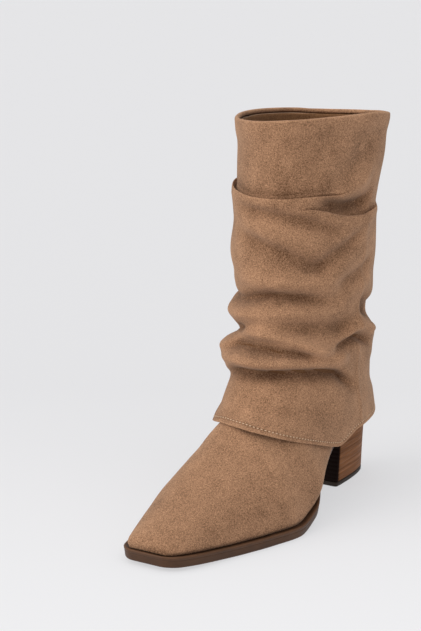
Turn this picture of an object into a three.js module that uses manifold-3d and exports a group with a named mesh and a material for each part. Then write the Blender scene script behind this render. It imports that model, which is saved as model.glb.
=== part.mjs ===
// A left slouch boot: a pull-on suede boot with a stacked block heel, a squared toe and a wide
// sleeve that folds down from the collar over the shaft and ends in a slanted hem.
// Millimetres, +X to the toe, +Y to the outer side of the foot, +Z up.
// The origin is the middle of the ground face of the top lift.

import * as THREE from 'three';
import { mergeVertices } from 'three/addons/utils/BufferGeometryUtils.js';
import Module from 'manifold-3d';

const wasm = await Module();
wasm.setup();

// Driving sizes of the sole
const soleLength = 266;
const ballWidth = 86;
const seatInset = 1;
const heelRound = 26;
const heelFlat = 4.4;
const toeCorner = 9;
const foreSoleThickness = 7.6;
const seatSoleThickness = 5.5;
const toeSpring = 3;
const shelfWidth = 3;
const seatMargin = 1.2;
const shelfThickness = 2.4;
const shelfProud = 1;
const edgeBevel = 0.8;

// Driving sizes of the heel
const heelHeight = 50;
const heelBaseLength = 56;
const heelBaseWidth = 41;
const heelTopWidth = 47;
const heelBreastLean = 2;
const heelCorner = 2;
const topLiftThickness = 3.5;

// Driving sizes of the upper, the insole and the sleeve
const upperWall = 2;
const insoleThickness = 3;
const sideSwell = 6.5;
const instepHeight = 82;
const bootHeight = 268;
const collarDepth = 128;
const collarWidth = 102;
const shaftAxisX = 40;
const shaftAxisY = 3;
const sleeveWall = 2;
const rimWall = 4;
const rimHeight = 5;
const hemHeight = 54;
const lapHeight = 218;
const lapStep = 3.2;
const lapFall = 18;
const foldDepth = 5.5;
const seamProud = 0.8;
const seamWidth = 5;

// The gap between neighbours that touch on the real boot, and the insole's play in the upper
const fit = 0.3;
const insolePlay = 0.8;

// Where along the sole its thickness and its shelf grow to their full size, in shares of its length
const thickening = { from: 0.3, to: 0.6 };
const shelving = { from: 0.1, to: 0.5 };

// Plan of the heel's base: how fast it narrows towards the back, and how square its back is
const heelTaper = 1.5;
const heelSquare = 4;

// How quickly the swell of the upper's outer side dies away above the sole
const swellFall = 7;

// Shape of the shaft's sections, and how it runs up to the sleeve below the collar
const roundSection = 2;
const bandHeight = 0.9;
const shaftEase = 1;
const shaftTurn = 0.2;

// Sections of the sole from heel to toe. at is a share of the sole's length, lateral and medial
// are shares of the ball width from the boot's middle line, rise is the arch as a share of the
// heel's height and spring the lift of the toe as a share of the toe spring.
const soleSections = [
  { at: 0.0, lateral: 0.285, medial: 0.285, rise: 1.1, spring: 0 },
  { at: 0.1, lateral: 0.297, medial: 0.297, rise: 1.04, spring: 0 },
  { at: 0.2, lateral: 0.325, medial: 0.3, rise: 0.95, spring: 0 },
  { at: 0.32, lateral: 0.405, medial: 0.26, rise: 0.75, spring: 0 },
  { at: 0.43, lateral: 0.495, medial: 0.225, rise: 0.42, spring: 0 },
  { at: 0.52, lateral: 0.615, medial: 0.28, rise: 0.13, spring: 0 },
  { at: 0.6, lateral: 0.63, medial: 0.355, rise: 0, spring: 0 },
  { at: 0.7, lateral: 0.565, medial: 0.41, rise: 0, spring: 0 },
  { at: 0.78, lateral: 0.49, medial: 0.415, rise: 0, spring: 0.04 },
  { at: 0.86, lateral: 0.41, medial: 0.36, rise: 0, spring: 0.26 },
  { at: 0.93, lateral: 0.34, medial: 0.29, rise: 0, spring: 0.6 },
  { at: 1.0, lateral: 0.24, medial: 0.205, rise: 0, spring: 1 },
];

// Sections of the foot part of the upper. height is a share of the instep height above the sole,
// square is the exponent of the section's arch, lean moves its top to the inner side as a share
// of the half width, swell is how far its outer side stands out over the sole's waist as a share
// of the side swell.
const footSections = [
  { at: 0.0, height: 0.06, square: 2.2, lean: 0, swell: 0 },
  { at: 0.03, height: 0.2, square: 2.2, lean: 0, swell: 0 },
  { at: 0.08, height: 0.42, square: 2.2, lean: 0, swell: 0 },
  { at: 0.2, height: 0.62, square: 2.1, lean: 0.04, swell: 0 },
  { at: 0.26, height: 0.71, square: 2.05, lean: 0.08, swell: 0.2 },
  { at: 0.33, height: 0.82, square: 2.0, lean: 0.12, swell: 0.72 },
  { at: 0.38, height: 0.89, square: 2.0, lean: 0.16, swell: 0.9 },
  { at: 0.44, height: 0.94, square: 2.0, lean: 0.23, swell: 1 },
  { at: 0.48, height: 0.925, square: 1.97, lean: 0.28, swell: 0.78 },
  { at: 0.52, height: 0.895, square: 1.93, lean: 0.31, swell: 0.26 },
  { at: 0.59, height: 0.815, square: 1.88, lean: 0.31, swell: 0 },
  { at: 0.625, height: 0.75, square: 1.88, lean: 0.29, swell: 0 },
  { at: 0.66, height: 0.665, square: 1.86, lean: 0.26, swell: 0 },
  { at: 0.74, height: 0.53, square: 1.85, lean: 0.2, swell: 0 },
  { at: 0.82, height: 0.4, square: 1.9, lean: 0.1, swell: 0 },
  { at: 0.9, height: 0.27, square: 2.0, lean: 0.04, swell: 0 },
  { at: 0.96, height: 0.17, square: 2.2, lean: 0, swell: 0 },
  { at: 0.985, height: 0.12, square: 2.4, lean: 0, swell: 0 },
  { at: 1.0, height: 0.05, square: 2.6, lean: 0, swell: 0 },
];

// Level sections of the inner shaft. at is a share of the boot's height, front and back are
// shares of half the collar's depth, lateral and medial of half its width, from the shaft's axis.
const shaftSections = [
  { at: 0.1, front: 0.34, back: 0.96, lateral: 0.36, medial: 0.47 },
  { at: 0.24, front: 0.42, back: 0.96, lateral: 0.4, medial: 0.49 },
  { at: 0.32, front: 0.52, back: 0.86, lateral: 0.45, medial: 0.54 },
  { at: 0.42, front: 0.61, back: 0.73, lateral: 0.5, medial: 0.6 },
  { at: 0.52, front: 0.66, back: 0.7, lateral: 0.56, medial: 0.66 },
  { at: 0.66, front: 0.78, back: 0.7, lateral: 0.64, medial: 0.74 },
  { at: 0.76, front: 0.86, back: 0.72, lateral: 0.69, medial: 0.77 },
];

// Level sections of the outside of the sleeve, in the same shares. square is the exponent of its
// front half and pinch of its outer back quarter.
const sleeveSections = [
  { at: 0.14, front: 1.7, back: 1.13, lateral: 0.84, medial: 0.88, square: 2.6, pinch: 1.75 },
  { at: 0.2, front: 1.7, back: 1.12, lateral: 0.85, medial: 0.88, square: 2.6, pinch: 1.75 },
  { at: 0.255, front: 1.61, back: 1.09, lateral: 0.85, medial: 0.84, square: 2.45, pinch: 1.7 },
  { at: 0.29, front: 1.42, back: 1.03, lateral: 0.82, medial: 0.81, square: 2.2, pinch: 1.7 },
  { at: 0.345, front: 1.25, back: 0.93, lateral: 0.79, medial: 0.83, square: 2.1, pinch: 1.8 },
  { at: 0.38, front: 1.25, back: 0.9, lateral: 0.8, medial: 0.94, square: 2.0, pinch: 2 },
  { at: 0.42, front: 1.29, back: 0.88, lateral: 0.82, medial: 0.97, square: 2.0, pinch: 2 },
  { at: 0.465, front: 1.1, back: 0.84, lateral: 0.78, medial: 0.84, square: 2.0, pinch: 2 },
  { at: 0.53, front: 1.13, back: 0.84, lateral: 0.81, medial: 0.94, square: 2.0, pinch: 2 },
  { at: 0.59, front: 1.03, back: 0.84, lateral: 0.82, medial: 0.85, square: 2.0, pinch: 2 },
  { at: 0.67, front: 1.06, back: 0.84, lateral: 0.85, medial: 0.97, square: 2.0, pinch: 2 },
  { at: 0.76, front: 1.02, back: 0.84, lateral: 0.83, medial: 0.9, square: 2.0, pinch: 2 },
  { at: 0.85, front: 1.0, back: 0.88, lateral: 0.91, medial: 0.89, square: 2.0, pinch: 1.9 },
  { at: 1.0, front: 1.0, back: 0.99, lateral: 1.02, medial: 0.94, square: 2.0, pinch: 1.8 },
];

// The hem, the edge of the lap and the collar's rim by angle, in degrees from the toe round by the
// outer side. hem is a share of the hem height, lap of the lap height, step of the lap's step and
// rim of the boot's height.
const edgeSections = [
  { angle: -180, hem: 1.0, lap: 0.985, step: 0.3, rim: 1.005 },
  { angle: -120, hem: 1.05, lap: 1.02, step: 0.5, rim: 1.014 },
  { angle: -60, hem: 1.11, lap: 1.045, step: 1, rim: 1.014 },
  { angle: -30, hem: 1.16, lap: 1.028, step: 1, rim: 1.008 },
  { angle: -20, hem: 1.21, lap: 1.022, step: 1, rim: 1.009 },
  { angle: -11, hem: 1.28, lap: 1.016, step: 1, rim: 1.011 },
  { angle: 0, hem: 1.3, lap: 1.01, step: 1, rim: 1.013 },
  { angle: 12, hem: 1.24, lap: 1.006, step: 0.95, rim: 1.0155 },
  { angle: 24, hem: 1.1, lap: 1.005, step: 0.9, rim: 1.0175 },
  { angle: 41, hem: 0.925, lap: 0.975, step: 1.1, rim: 1.0195 },
  { angle: 58, hem: 0.845, lap: 0.95, step: 1.3, rim: 1.021 },
  { angle: 74, hem: 0.93, lap: 0.945, step: 1.45, rim: 1.0225 },
  { angle: 90, hem: 0.978, lap: 0.945, step: 1.5, rim: 1.0225 },
  { angle: 125, hem: 1.0, lap: 0.945, step: 1.3, rim: 1.0115 },
  { angle: 180, hem: 1.0, lap: 0.985, step: 0.3, rim: 1.005 },
];

// The main folds of the sleeve. Each runs from its first to its last angle, its heights at the
// ends and the middle are shares of the boot's height, out is how far it stands out of the wall as
// a share of the fold depth, and up and down are its reach in shares of the boot's height.
const folds = {
  tuckRidge: { from: 36, to: 110, start: 0.81, mid: 0.822, end: 0.85, out: 0.5, up: 0.024, down: 0.024 },
  diagonalDip: { from: -40, to: 62, start: 0.79, mid: 0.767, end: 0.725, out: -0.4, up: 0.024, down: 0.028 },
  hangingDip: { from: -30, to: 90, start: 0.715, mid: 0.65, end: 0.71, out: -0.6, up: 0.032, down: 0.032 },
  swell: { from: -45, to: 100, start: 0.62, mid: 0.605, end: 0.64, out: 0.4, up: 0.032, down: 0.032 },
  archedDip: { from: -75, to: 52, start: 0.55, mid: 0.58, end: 0.548, out: -0.75, up: 0.032, down: 0.024 },
  pocket: { from: 65, to: 165, start: 0.53, mid: 0.49, end: 0.48, out: -1.3, up: 0.04, down: 0.03 },
  frontDent: { from: -95, to: 15, start: 0.475, mid: 0.488, end: 0.485, out: -0.9, up: 0.026, down: 0.024 },
  longRidge: { from: -25, to: 92, start: 0.488, mid: 0.44, end: 0.385, out: 0.9, up: 0.03, down: 0.026 },
  outerRoll: { from: 50, to: 160, start: 0.44, mid: 0.452, end: 0.43, out: 0.6, up: 0.026, down: 0.026 },
  tuckDip: { from: 35, to: 125, start: 0.405, mid: 0.432, end: 0.42, out: -0.6, up: 0.022, down: 0.024 },
  leftRoll: { from: -100, to: -5, start: 0.45, mid: 0.458, end: 0.46, out: 0.7, up: 0.022, down: 0.026 },
  leftDip: { from: -65, to: 55, start: 0.428, mid: 0.434, end: 0.4, out: -0.5, up: 0.022, down: 0.022 },
  lowerDip: { from: -35, to: 100, start: 0.378, mid: 0.376, end: 0.3, out: -0.8, up: 0.028, down: 0.03 },
  innerRoll: { from: 190, to: 290, start: 0.42, mid: 0.4, end: 0.44, out: 0.8, up: 0.03, down: 0.03 },
  innerDip: { from: 180, to: 300, start: 0.56, mid: 0.53, end: 0.57, out: -0.7, up: 0.028, down: 0.028 },
  backDip: { from: 125, to: 240, start: 0.66, mid: 0.69, end: 0.66, out: -0.5, up: 0.03, down: 0.03 },
};

// Number of steps in the faceted forms, how far they bunch towards the ends of a side or an arch,
// and the distance below which two corners are one
const sideBunch = 0.8;
const archBunch = 0.5;
const weldDistance = 1e-5;
const sideStations = 32;
const footStations = 28;
const archSteps = 14;
const heelSteps = 12;
const levelSteps = 44;
const shaftSteps = 32;
const sleeveRows = 28;
const bandRows = 5;

const degrees = Math.PI / 180;
const seatBack = seatInset - heelBaseLength / 2;

// Smooth curve through one column of a table, with no overshoot between rows.
function columnCurve(rows, key, column) {
  const position = rows.map((row) => row[key]);
  const value = rows.map((row) => row[column]);
  const chord = value.slice(1).map((v, i) => (v - value[i]) / (position[i + 1] - position[i]));
  const slope = value.map((v, i) => {
    if (i === 0) return chord[0];
    if (i === chord.length) return chord[i - 1];
    if (chord[i - 1] * chord[i] <= 0) return 0;
    return (2 * chord[i - 1] * chord[i]) / (chord[i - 1] + chord[i]);
  });
  return (at) => {
    const x = THREE.MathUtils.clamp(at, position[0], position[position.length - 1]);
    let i = 0;
    while (i < chord.length - 1 && x > position[i + 1]) i += 1;
    const span = position[i + 1] - position[i];
    const s = (x - position[i]) / span;
    const rise = value[i + 1] - value[i];
    const leave = slope[i] * span - rise;
    const arrive = slope[i + 1] * span - rise;
    return value[i] + rise * s + s * (1 - s) * ((1 - s) * leave - s * arrive);
  };
}

// A table's columns as curves, by name.
function curvesOf(rows, key, columns) {
  return Object.fromEntries(columns.map((column) => [column, columnCurve(rows, key, column)]));
}

const sole = curvesOf(soleSections, 'at', ['lateral', 'medial', 'rise', 'spring']);
const foot = curvesOf(footSections, 'at', ['height', 'square', 'lean', 'swell']);
const sleeve = curvesOf(sleeveSections, 'at', ['front', 'back', 'lateral', 'medial', 'square', 'pinch']);
const edge = curvesOf(edgeSections, 'angle', ['hem', 'lap', 'step', 'rim']);

// A closed body from a list of triangles' corners.
function solidFrom(corners) {
  const geometry = new THREE.BufferGeometry();
  geometry.setAttribute('position', new THREE.Float32BufferAttribute(corners, 3));
  return solidOf(geometry);
}

// A manifold body from a closed geometry.
function solidOf(geometry) {
  const plain = geometry.clone();
  plain.deleteAttribute('normal');
  plain.deleteAttribute('uv');
  const merged = mergeVertices(plain, weldDistance);
  const vertProperties = new Float32Array(merged.attributes.position.array);
  const triVerts = new Uint32Array(merged.index.array);
  return new wasm.Manifold(new wasm.Mesh({ numProp: 3, vertProperties, triVerts }));
}

// A named mesh from a manifold body, with its finish.
function meshOf(name, solid, finish) {
  const result = solid.getMesh();
  const geometry = new THREE.BufferGeometry();
  geometry.setAttribute('position', new THREE.Float32BufferAttribute(result.vertProperties, 3));
  geometry.setIndex(new THREE.Uint32BufferAttribute(result.triVerts, 1));
  geometry.computeVertexNormals();
  const mesh = new THREE.Mesh(geometry, finish);
  mesh.name = name;
  return mesh;
}

// The side of a loft: quads between each ring and the next, closed round each ring.
function ringSides(rings) {
  const corners = [];
  for (let i = 0; i < rings.length - 1; i += 1) {
    const low = rings[i];
    const high = rings[i + 1];
    for (let j = 0; j < low.length; j += 1) {
      const k = (j + 1) % low.length;
      corners.push(...low[j], ...low[k], ...high[k], ...low[j], ...high[k], ...high[j]);
    }
  }
  return corners;
}

// A flat or gently curved lid over a ring, as a fan from its middle.
function fanLid(ring, flipped) {
  const middle = [0, 1, 2].map((axis) => ring.reduce((sum, p) => sum + p[axis], 0) / ring.length);
  return ring.flatMap((point, j) => {
    const next = ring[(j + 1) % ring.length];
    return flipped ? [...middle, ...next, ...point] : [...middle, ...point, ...next];
  });
}

// A lid over a sole outline, in strips from the outer to the inner side, so that it follows the
// sole's side line.
function stripLid(ring, flipped) {
  const half = ring.length / 2;
  const corners = [];
  for (let i = 0; i < half - 1; i += 1) {
    const quad = [ring[i], ring[i + 1], ring[ring.length - 2 - i], ring[ring.length - 1 - i]];
    const [a, b, c, d] = flipped ? quad.reverse() : quad;
    corners.push(...a, ...b, ...c, ...a, ...c, ...d);
  }
  return corners;
}

// A solid loft through rings that turn anticlockwise seen from the last one's side.
function loft(rings, lid = fanLid) {
  const lids = [...lid(rings[0], true), ...lid(rings[rings.length - 1], false)];
  return solidFrom([...ringSides(rings), ...lids]);
}

// The share of the sole's length at a place along the boot.
function shareAt(x) {
  return (x - seatBack) / soleLength;
}

// Height of the underside of the sole.
function underside(x) {
  const at = shareAt(x);
  return sole.rise(at) * heelHeight + sole.spring(at) * toeSpring;
}

// Thickness of the sole, thick under the toes and thin under the arch and heel.
function soleThickness(x) {
  const forward = THREE.MathUtils.smoothstep(shareAt(x), thickening.from, thickening.to);
  return THREE.MathUtils.lerp(seatSoleThickness, foreSoleThickness, forward);
}

// Height of the top of the sole, where upper and insole stand.
function bed(x) {
  return underside(x) + soleThickness(x);
}

// Width of the shelf that the sole shows outside the upper.
function shelf(x) {
  const forward = THREE.MathUtils.smoothstep(shareAt(x), shelving.from, shelving.to);
  return THREE.MathUtils.lerp(seatMargin, shelfWidth, forward);
}

// Half width of the sole on one side, round at the heel and at the toe's corners.
function halfWidth(x, side) {
  const width = sole[side](shareAt(x)) * ballWidth;
  const fromHeel = Math.min(Math.max(x - seatBack, 0), heelRound);
  const fromToe = Math.min(Math.max(seatBack + soleLength - x, 0), toeCorner);
  const heelShare = Math.sqrt(1 - (1 - fromHeel / heelRound) ** 2);
  const cornerCut = toeCorner - Math.sqrt(toeCorner ** 2 - (toeCorner - fromToe) ** 2);
  return width * heelShare - cornerCut;
}

// A share from nought to one, drawn towards both ends by an amount.
function bunched(share, amount) {
  return THREE.MathUtils.lerp(share, (1 - Math.cos(Math.PI * share)) / 2, amount);
}

// Places along the boot, closer together at the heel and the toe.
function stations(count) {
  const shares = Array.from({ length: count }, (_, i) => bunched(i / (count - 1), sideBunch));
  return shares.map((share) => seatBack + soleLength * share);
}

// The sole's outline in plan, up the outer side and back along the inner side, moved in by a
// margin that may change along the boot.
function outline(margin) {
  const places = stations(sideStations);
  const outer = places.map((x) => new THREE.Vector2(x, halfWidth(x, 'lateral')));
  const inner = places.map((x) => new THREE.Vector2(x, -halfWidth(x, 'medial')));
  outer[0].y = Math.max(outer[0].y, heelFlat / 2);
  inner[0].y = Math.min(inner[0].y, -heelFlat / 2);
  const loop = [...outer, ...inner.reverse()];
  return loop.map((point, i) => {
    const before = loop[(i + loop.length - 1) % loop.length];
    const after = loop[(i + 1) % loop.length];
    const along = after.clone().sub(before).normalize();
    const inward = new THREE.Vector2(along.y, -along.x);
    return point.clone().addScaledVector(inward, margin(point.x));
  });
}

// A ring over the sole's outline at a height above a side line.
function soleRing(margin, height) {
  return outline(margin).map((point) => [point.x, point.y, height(point.x)]).reverse();
}

// The outsole: bevelled underside, side wall and the proud shelf on top.
function outsoleSolid() {
  const shelfFoot = (x) => bed(x) - shelfThickness;
  const rings = [
    soleRing(() => shelfProud + edgeBevel, underside),
    soleRing(() => shelfProud, (x) => underside(x) + edgeBevel),
    soleRing(() => shelfProud, (x) => shelfFoot(x) - shelfProud / 2),
    soleRing(() => 0, shelfFoot),
    soleRing(() => 0, (x) => bed(x) - edgeBevel),
    soleRing(() => edgeBevel, bed),
  ];
  return loft(rings, stripLid);
}

// The insole, inside the upper on the sole.
function insoleSolid() {
  const margin = (x) => shelf(x) + upperWall + insolePlay;
  const rings = [
    soleRing(margin, (x) => bed(x) + fit),
    soleRing(margin, (x) => bed(x) + fit + insoleThickness),
  ];
  return loft(rings, stripLid);
}

// A level section of the heel, flat at the breast. Its base narrows towards a squarish back, and
// its seat is round as the sole is.
function heelRing(share, height) {
  const half = THREE.MathUtils.lerp(heelBaseWidth, heelTopWidth, share) / 2;
  const breast = heelBaseLength / 2 - heelBreastLean * share;
  const back = THREE.MathUtils.lerp(-heelBaseLength / 2, seatBack + fit, share);
  const side = Array.from({ length: heelSteps + 1 }, (_, i) => {
    const s = Math.sin((Math.PI * i) / (2 * heelSteps));
    const x = THREE.MathUtils.lerp(breast - heelCorner, back, s);
    const fromBack = Math.min((x - back) / heelRound, 1);
    const base = (1 - s ** heelTaper) ** (1 / heelSquare);
    const seat = Math.sqrt(1 - (1 - fromBack) ** 2);
    return [x, half * THREE.MathUtils.lerp(base, seat, share)];
  });
  const inner = side.slice(0, -1).reverse().map(([x, y]) => [x, -y]);
  const flat = [
    [breast, heelCorner - half],
    [breast, half - heelCorner],
  ];
  return [...side, ...inner, ...flat].map(([x, y]) => [x, y, height(x)]);
}

// The stacked block, from the top lift up to the sloped seat.
function heelSolid() {
  const foot = topLiftThickness + fit;
  const levels = [0, 0.5, 1];
  const rings = levels.map((share) => {
    const height = (x) => THREE.MathUtils.lerp(foot, underside(x) - fit, share);
    return heelRing(THREE.MathUtils.lerp(topLiftThickness / heelHeight, 1, share), height);
  });
  return loft(rings);
}

// The top lift that stands on the ground.
function topLiftSolid() {
  const share = topLiftThickness / heelHeight;
  const drawIn = { x: 1 - edgeBevel / heelBaseLength, y: 1 - edgeBevel / heelBaseWidth };
  const inner = heelRing(0, () => 0).map(([x, y]) => [x * drawIn.x, y * drawIn.y, 0]);
  const rings = [inner, heelRing(0, () => edgeBevel), heelRing(share, () => topLiftThickness)];
  return loft(rings);
}

// The swell of the outer side by height, which is nought at the sole and one where it is fullest.
function swellShape(up) {
  const fullest = 1 / (1 + swellFall);
  return (up / fullest) * ((1 - up) / (1 - fullest)) ** swellFall;
}

// A cross section of the foot part of the upper, from the outer side over the instep.
function footRing(x, wall) {
  const at = shareAt(x);
  const margin = shelf(x) + wall;
  const lateral = Math.max(halfWidth(x, 'lateral') - margin, 1);
  const medial = Math.max(halfWidth(x, 'medial') - margin, 1);
  const middle = (lateral - medial) / 2;
  const half = (lateral + medial) / 2;
  const top = foot.height(at) * instepHeight - wall;
  const power = 2 / foot.square(at);
  const ring = [];
  for (let i = 0; i <= archSteps; i += 1) {
    const angle = Math.PI * bunched(i / archSteps, archBunch);
    const across = Math.sign(Math.cos(angle)) * Math.abs(Math.cos(angle)) ** power;
    const up = Math.sin(angle) ** power;
    const out = across > 0 ? foot.swell(at) * sideSwell * swellShape(up) : 0;
    const y = middle + half * (across - foot.lean(at) * up ** 2) + out;
    ring.push([x, y, bed(x) + fit + top * up]);
  }
  const under = bed(x) - foreSoleThickness;
  return [[x, middle + half, under], ...ring, [x, middle - half, under]];
}

// The foot form, from the back of the heel to the toe, that far inside the sole's edge.
function footForm(wall) {
  const back = seatBack + seatMargin + wall;
  const front = seatBack + soleLength - shelfWidth - wall;
  const places = stations(footStations).map((x) => {
    return THREE.MathUtils.mapLinear(x, seatBack, seatBack + soleLength, back, front);
  });
  return loft(places.map((x) => footRing(x, wall)));
}

// Distance from the shaft's axis to a level section's edge at an angle. The section has its own
// extent each way and exponents for its front half and its outer back quarter.
function sectionRadius(extents, angle) {
  const cos = Math.cos(angle * degrees);
  const sin = Math.sin(angle * degrees);
  const depth = ((cos > 0 ? extents.front : extents.back) * collarDepth) / 2;
  const width = ((sin > 0 ? extents.lateral : extents.medial) * collarWidth) / 2;
  const behind = sin > 0 ? extents.pinch : roundSection;
  const power = cos > 0 ? extents.square : behind;
  return (Math.abs(cos / depth) ** power + Math.abs(sin / width) ** power) ** (-1 / power);
}

// A ring round the shaft's axis, from its height and its radius by angle.
function axisRing(steps, heightAt, radiusAt) {
  return Array.from({ length: steps }, (_, i) => {
    const angle = (360 * i) / steps - 180;
    const height = heightAt(angle);
    const radius = radiusAt(angle, height);
    const x = shaftAxisX + radius * Math.cos(angle * degrees);
    const y = shaftAxisY + radius * Math.sin(angle * degrees);
    return [x, y, height];
  });
}

// Height of the collar's rim by angle.
function rim(angle) {
  return bootHeight * edge.rim(angle);
}

// Height of the hem by angle.
function hem(angle) {
  return edge.hem(angle) * hemHeight;
}

// The unfolded sleeve's radius at an angle and height.
function sleeveRadius(angle, height) {
  const columns = Object.entries(sleeve);
  const extents = columns.map(([column, curve]) => [column, curve(height / bootHeight)]);
  return sectionRadius(Object.fromEntries(extents), angle);
}

// The folds' push or pull on the sleeve at an angle and height.
function foldChange(angle, height) {
  return Object.values(folds).reduce((sum, fold) => {
    const turned = angle < fold.from ? angle + 360 : angle;
    const s = (turned - fold.from) / (fold.to - fold.from);
    if (s < 0 || s > 1) return sum;
    const straight = THREE.MathUtils.lerp(fold.start, fold.end, s);
    const path = straight + 4 * s * (1 - s) * (fold.mid - (fold.start + fold.end) / 2);
    const offset = height / bootHeight - path;
    const reach = offset > 0 ? fold.up : fold.down;
    const fade = Math.sin(Math.PI * s);
    return sum + fold.out * foldDepth * fade * Math.exp(-((offset / reach) ** 2));
  }, 0);
}

// The lap: below its edge the suede stands out and then falls back.
function lapChange(angle, height) {
  const below = edge.lap(angle) * lapHeight - height;
  if (below < 0) return 0;
  return edge.step(angle) * lapStep * Math.exp(-below / lapFall);
}

// The raised seam down the back of the sleeve.
function seamChange(angle) {
  const across = ((180 - Math.abs(angle)) * degrees * collarDepth) / 2;
  return seamProud * Math.max(0, 1 - (across / seamWidth) ** 2);
}

// The outside of the sleeve with its folds, its lap and its seam.
function sleeveSurface(angle, height) {
  const dressed = sleeveRadius(angle, height) + lapChange(angle, height) + seamChange(angle);
  return dressed + foldChange(angle, height);
}

// Heights of the sleeve's rows at an angle, from the hem to the lap's edge and on to the rim.
function sleeveRowHeight(angle, row) {
  const lap = edge.lap(angle) * lapHeight;
  if (row < sleeveRows) {
    return THREE.MathUtils.lerp(hem(angle), lap - fit, row / (sleeveRows - 1));
  }
  const share = (row - sleeveRows) / (bandRows - 1);
  return THREE.MathUtils.lerp(lap + lapStep / 2, rim(angle) - rimHeight, share);
}

// A ring of the sleeve at a height by angle, that far inside its outside.
function sleeveRing(heightAt, inset) {
  return axisRing(levelSteps, heightAt, (angle, height) => sleeveSurface(angle, height) - inset);
}

// The outside form of the sleeve, from the hem to the rounded rim.
function sleeveOutside() {
  const rows = Array.from({ length: sleeveRows + bandRows }, (_, row) => {
    return sleeveRing((angle) => sleeveRowHeight(angle, row), 0);
  });
  const rimRows = [
    sleeveRing((angle) => rim(angle) - edgeBevel, 0),
    sleeveRing((angle) => rim(angle), edgeBevel),
  ];
  return loft([...rows, ...rimRows]);
}

// The inside form of the sleeve, which runs past hem and rim and leaves a thicker rolled rim.
function sleeveInside() {
  const below = sleeveRing((angle) => hem(angle) - rimHeight, sleeveWall);
  const rows = Array.from({ length: sleeveRows + bandRows }, (_, row) => {
    return sleeveRing((angle) => sleeveRowHeight(angle, row), sleeveWall);
  });
  const rimRows = [
    sleeveRing((angle) => rim(angle) - rimHeight / 2, rimWall),
    sleeveRing((angle) => rim(angle) - edgeBevel, rimWall),
    sleeveRing((angle) => rim(angle) + edgeBevel, rimWall - 2 * edgeBevel),
  ];
  return loft([below, ...rows, ...rimRows]);
}

// The sleeve's wall.
function sleeveSolid() {
  return sleeveOutside().subtract(sleeveInside());
}

// The shaft's form: its own sections below, and just inside the sleeve at the collar. The
// hollow form runs past the shaft's top edge.
function shaftForm(wall) {
  const sections = shaftSections.map((row) => {
    const extents = { ...row, square: roundSection, pinch: roundSection };
    const radiusAt = (angle) => sectionRadius(extents, angle) - wall;
    return axisRing(shaftSteps, () => row.at * bootHeight, radiusAt);
  });
  const inside = sleeveWall + fit + wall;
  const past = wall > 0 ? rimHeight : 0;
  const bandRow = axisRing(shaftSteps, () => bandHeight * bootHeight, (angle, height) => {
    return sleeveRadius(angle, height) - inside - shaftEase;
  });
  const collarHeight = (angle) => rim(angle) - rimHeight - fit + past;
  const collarRow = axisRing(shaftSteps, collarHeight, (angle, height) => {
    return sleeveRadius(angle, height - past) - inside - shaftTurn;
  });
  return loft([...sections, bandRow, collarRow]);
}

// Everything above the top of the sole, as one block with the sole's side line below.
function aboveSole(gap) {
  const places = stations(sideStations);
  const reach = ballWidth;
  const profile = new THREE.Shape();
  profile.moveTo(seatBack - reach, bed(seatBack) + gap);
  places.forEach((x) => profile.lineTo(x, bed(x) + gap));
  profile.lineTo(seatBack + soleLength + reach, bed(seatBack + soleLength) + gap);
  profile.lineTo(seatBack + soleLength + reach, 2 * bootHeight);
  profile.lineTo(seatBack - reach, 2 * bootHeight);
  profile.closePath();
  const block = new THREE.ExtrudeGeometry(profile, { depth: 2 * reach, bevelEnabled: false });
  block.rotateX(Math.PI / 2);
  block.translate(0, reach, 0);
  return solidOf(block);
}

// The upper: vamp, heel part and inner shaft as one wall, open at the collar and over the sole.
function upperSolid() {
  const outside = footForm(0).add(shaftForm(0)).intersect(aboveSole(fit));
  const inside = footForm(upperWall).add(shaftForm(upperWall));
  return outside.subtract(inside);
}

const suede = new THREE.MeshStandardMaterial({ color: 0x9c7b60, roughness: 0.95, metalness: 0 });
const suedeSleeve = new THREE.MeshStandardMaterial({ color: 0xa08064, roughness: 0.95, metalness: 0 });
const soleRubber = new THREE.MeshStandardMaterial({ color: 0x4a3226, roughness: 0.6, metalness: 0 });
const stackedLeather = new THREE.MeshStandardMaterial({ color: 0x7a4a2e, roughness: 0.5, metalness: 0 });
const liftRubber = new THREE.MeshStandardMaterial({ color: 0x33221a, roughness: 0.7, metalness: 0 });
const lining = new THREE.MeshStandardMaterial({ color: 0xb59a7e, roughness: 0.8, metalness: 0 });

const boot = new THREE.Group();
boot.add(meshOf('outsole', outsoleSolid(), soleRubber));
boot.add(meshOf('heel_block', heelSolid(), stackedLeather));
boot.add(meshOf('top_lift', topLiftSolid(), liftRubber));
boot.add(meshOf('insole', insoleSolid(), lining));
boot.add(meshOf('upper', upperSolid(), suede));
boot.add(meshOf('shaft_cuff', sleeveSolid(), suedeSleeve));

export default boot;
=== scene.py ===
"""A left slouch boot in camel suede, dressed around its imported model.

The suede upper with its inner shaft, the sleeve that folds down from the collar with its laps
and creases, the stitched hem, the outsole, the stacked heel with its top lift and the insole
are made here in fine meshes. Sizes are millimetres: +X to the toe, +Y to the outer side of
the foot, +Z up, from the middle of the heel's ground face. Meshes are made in metres.
"""
import logging
import math
from dataclasses import dataclass, field
from enum import Enum
from typing import Callable, Iterable, Sequence

import bpy
import numpy as np
from mathutils import Matrix, Vector


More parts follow.
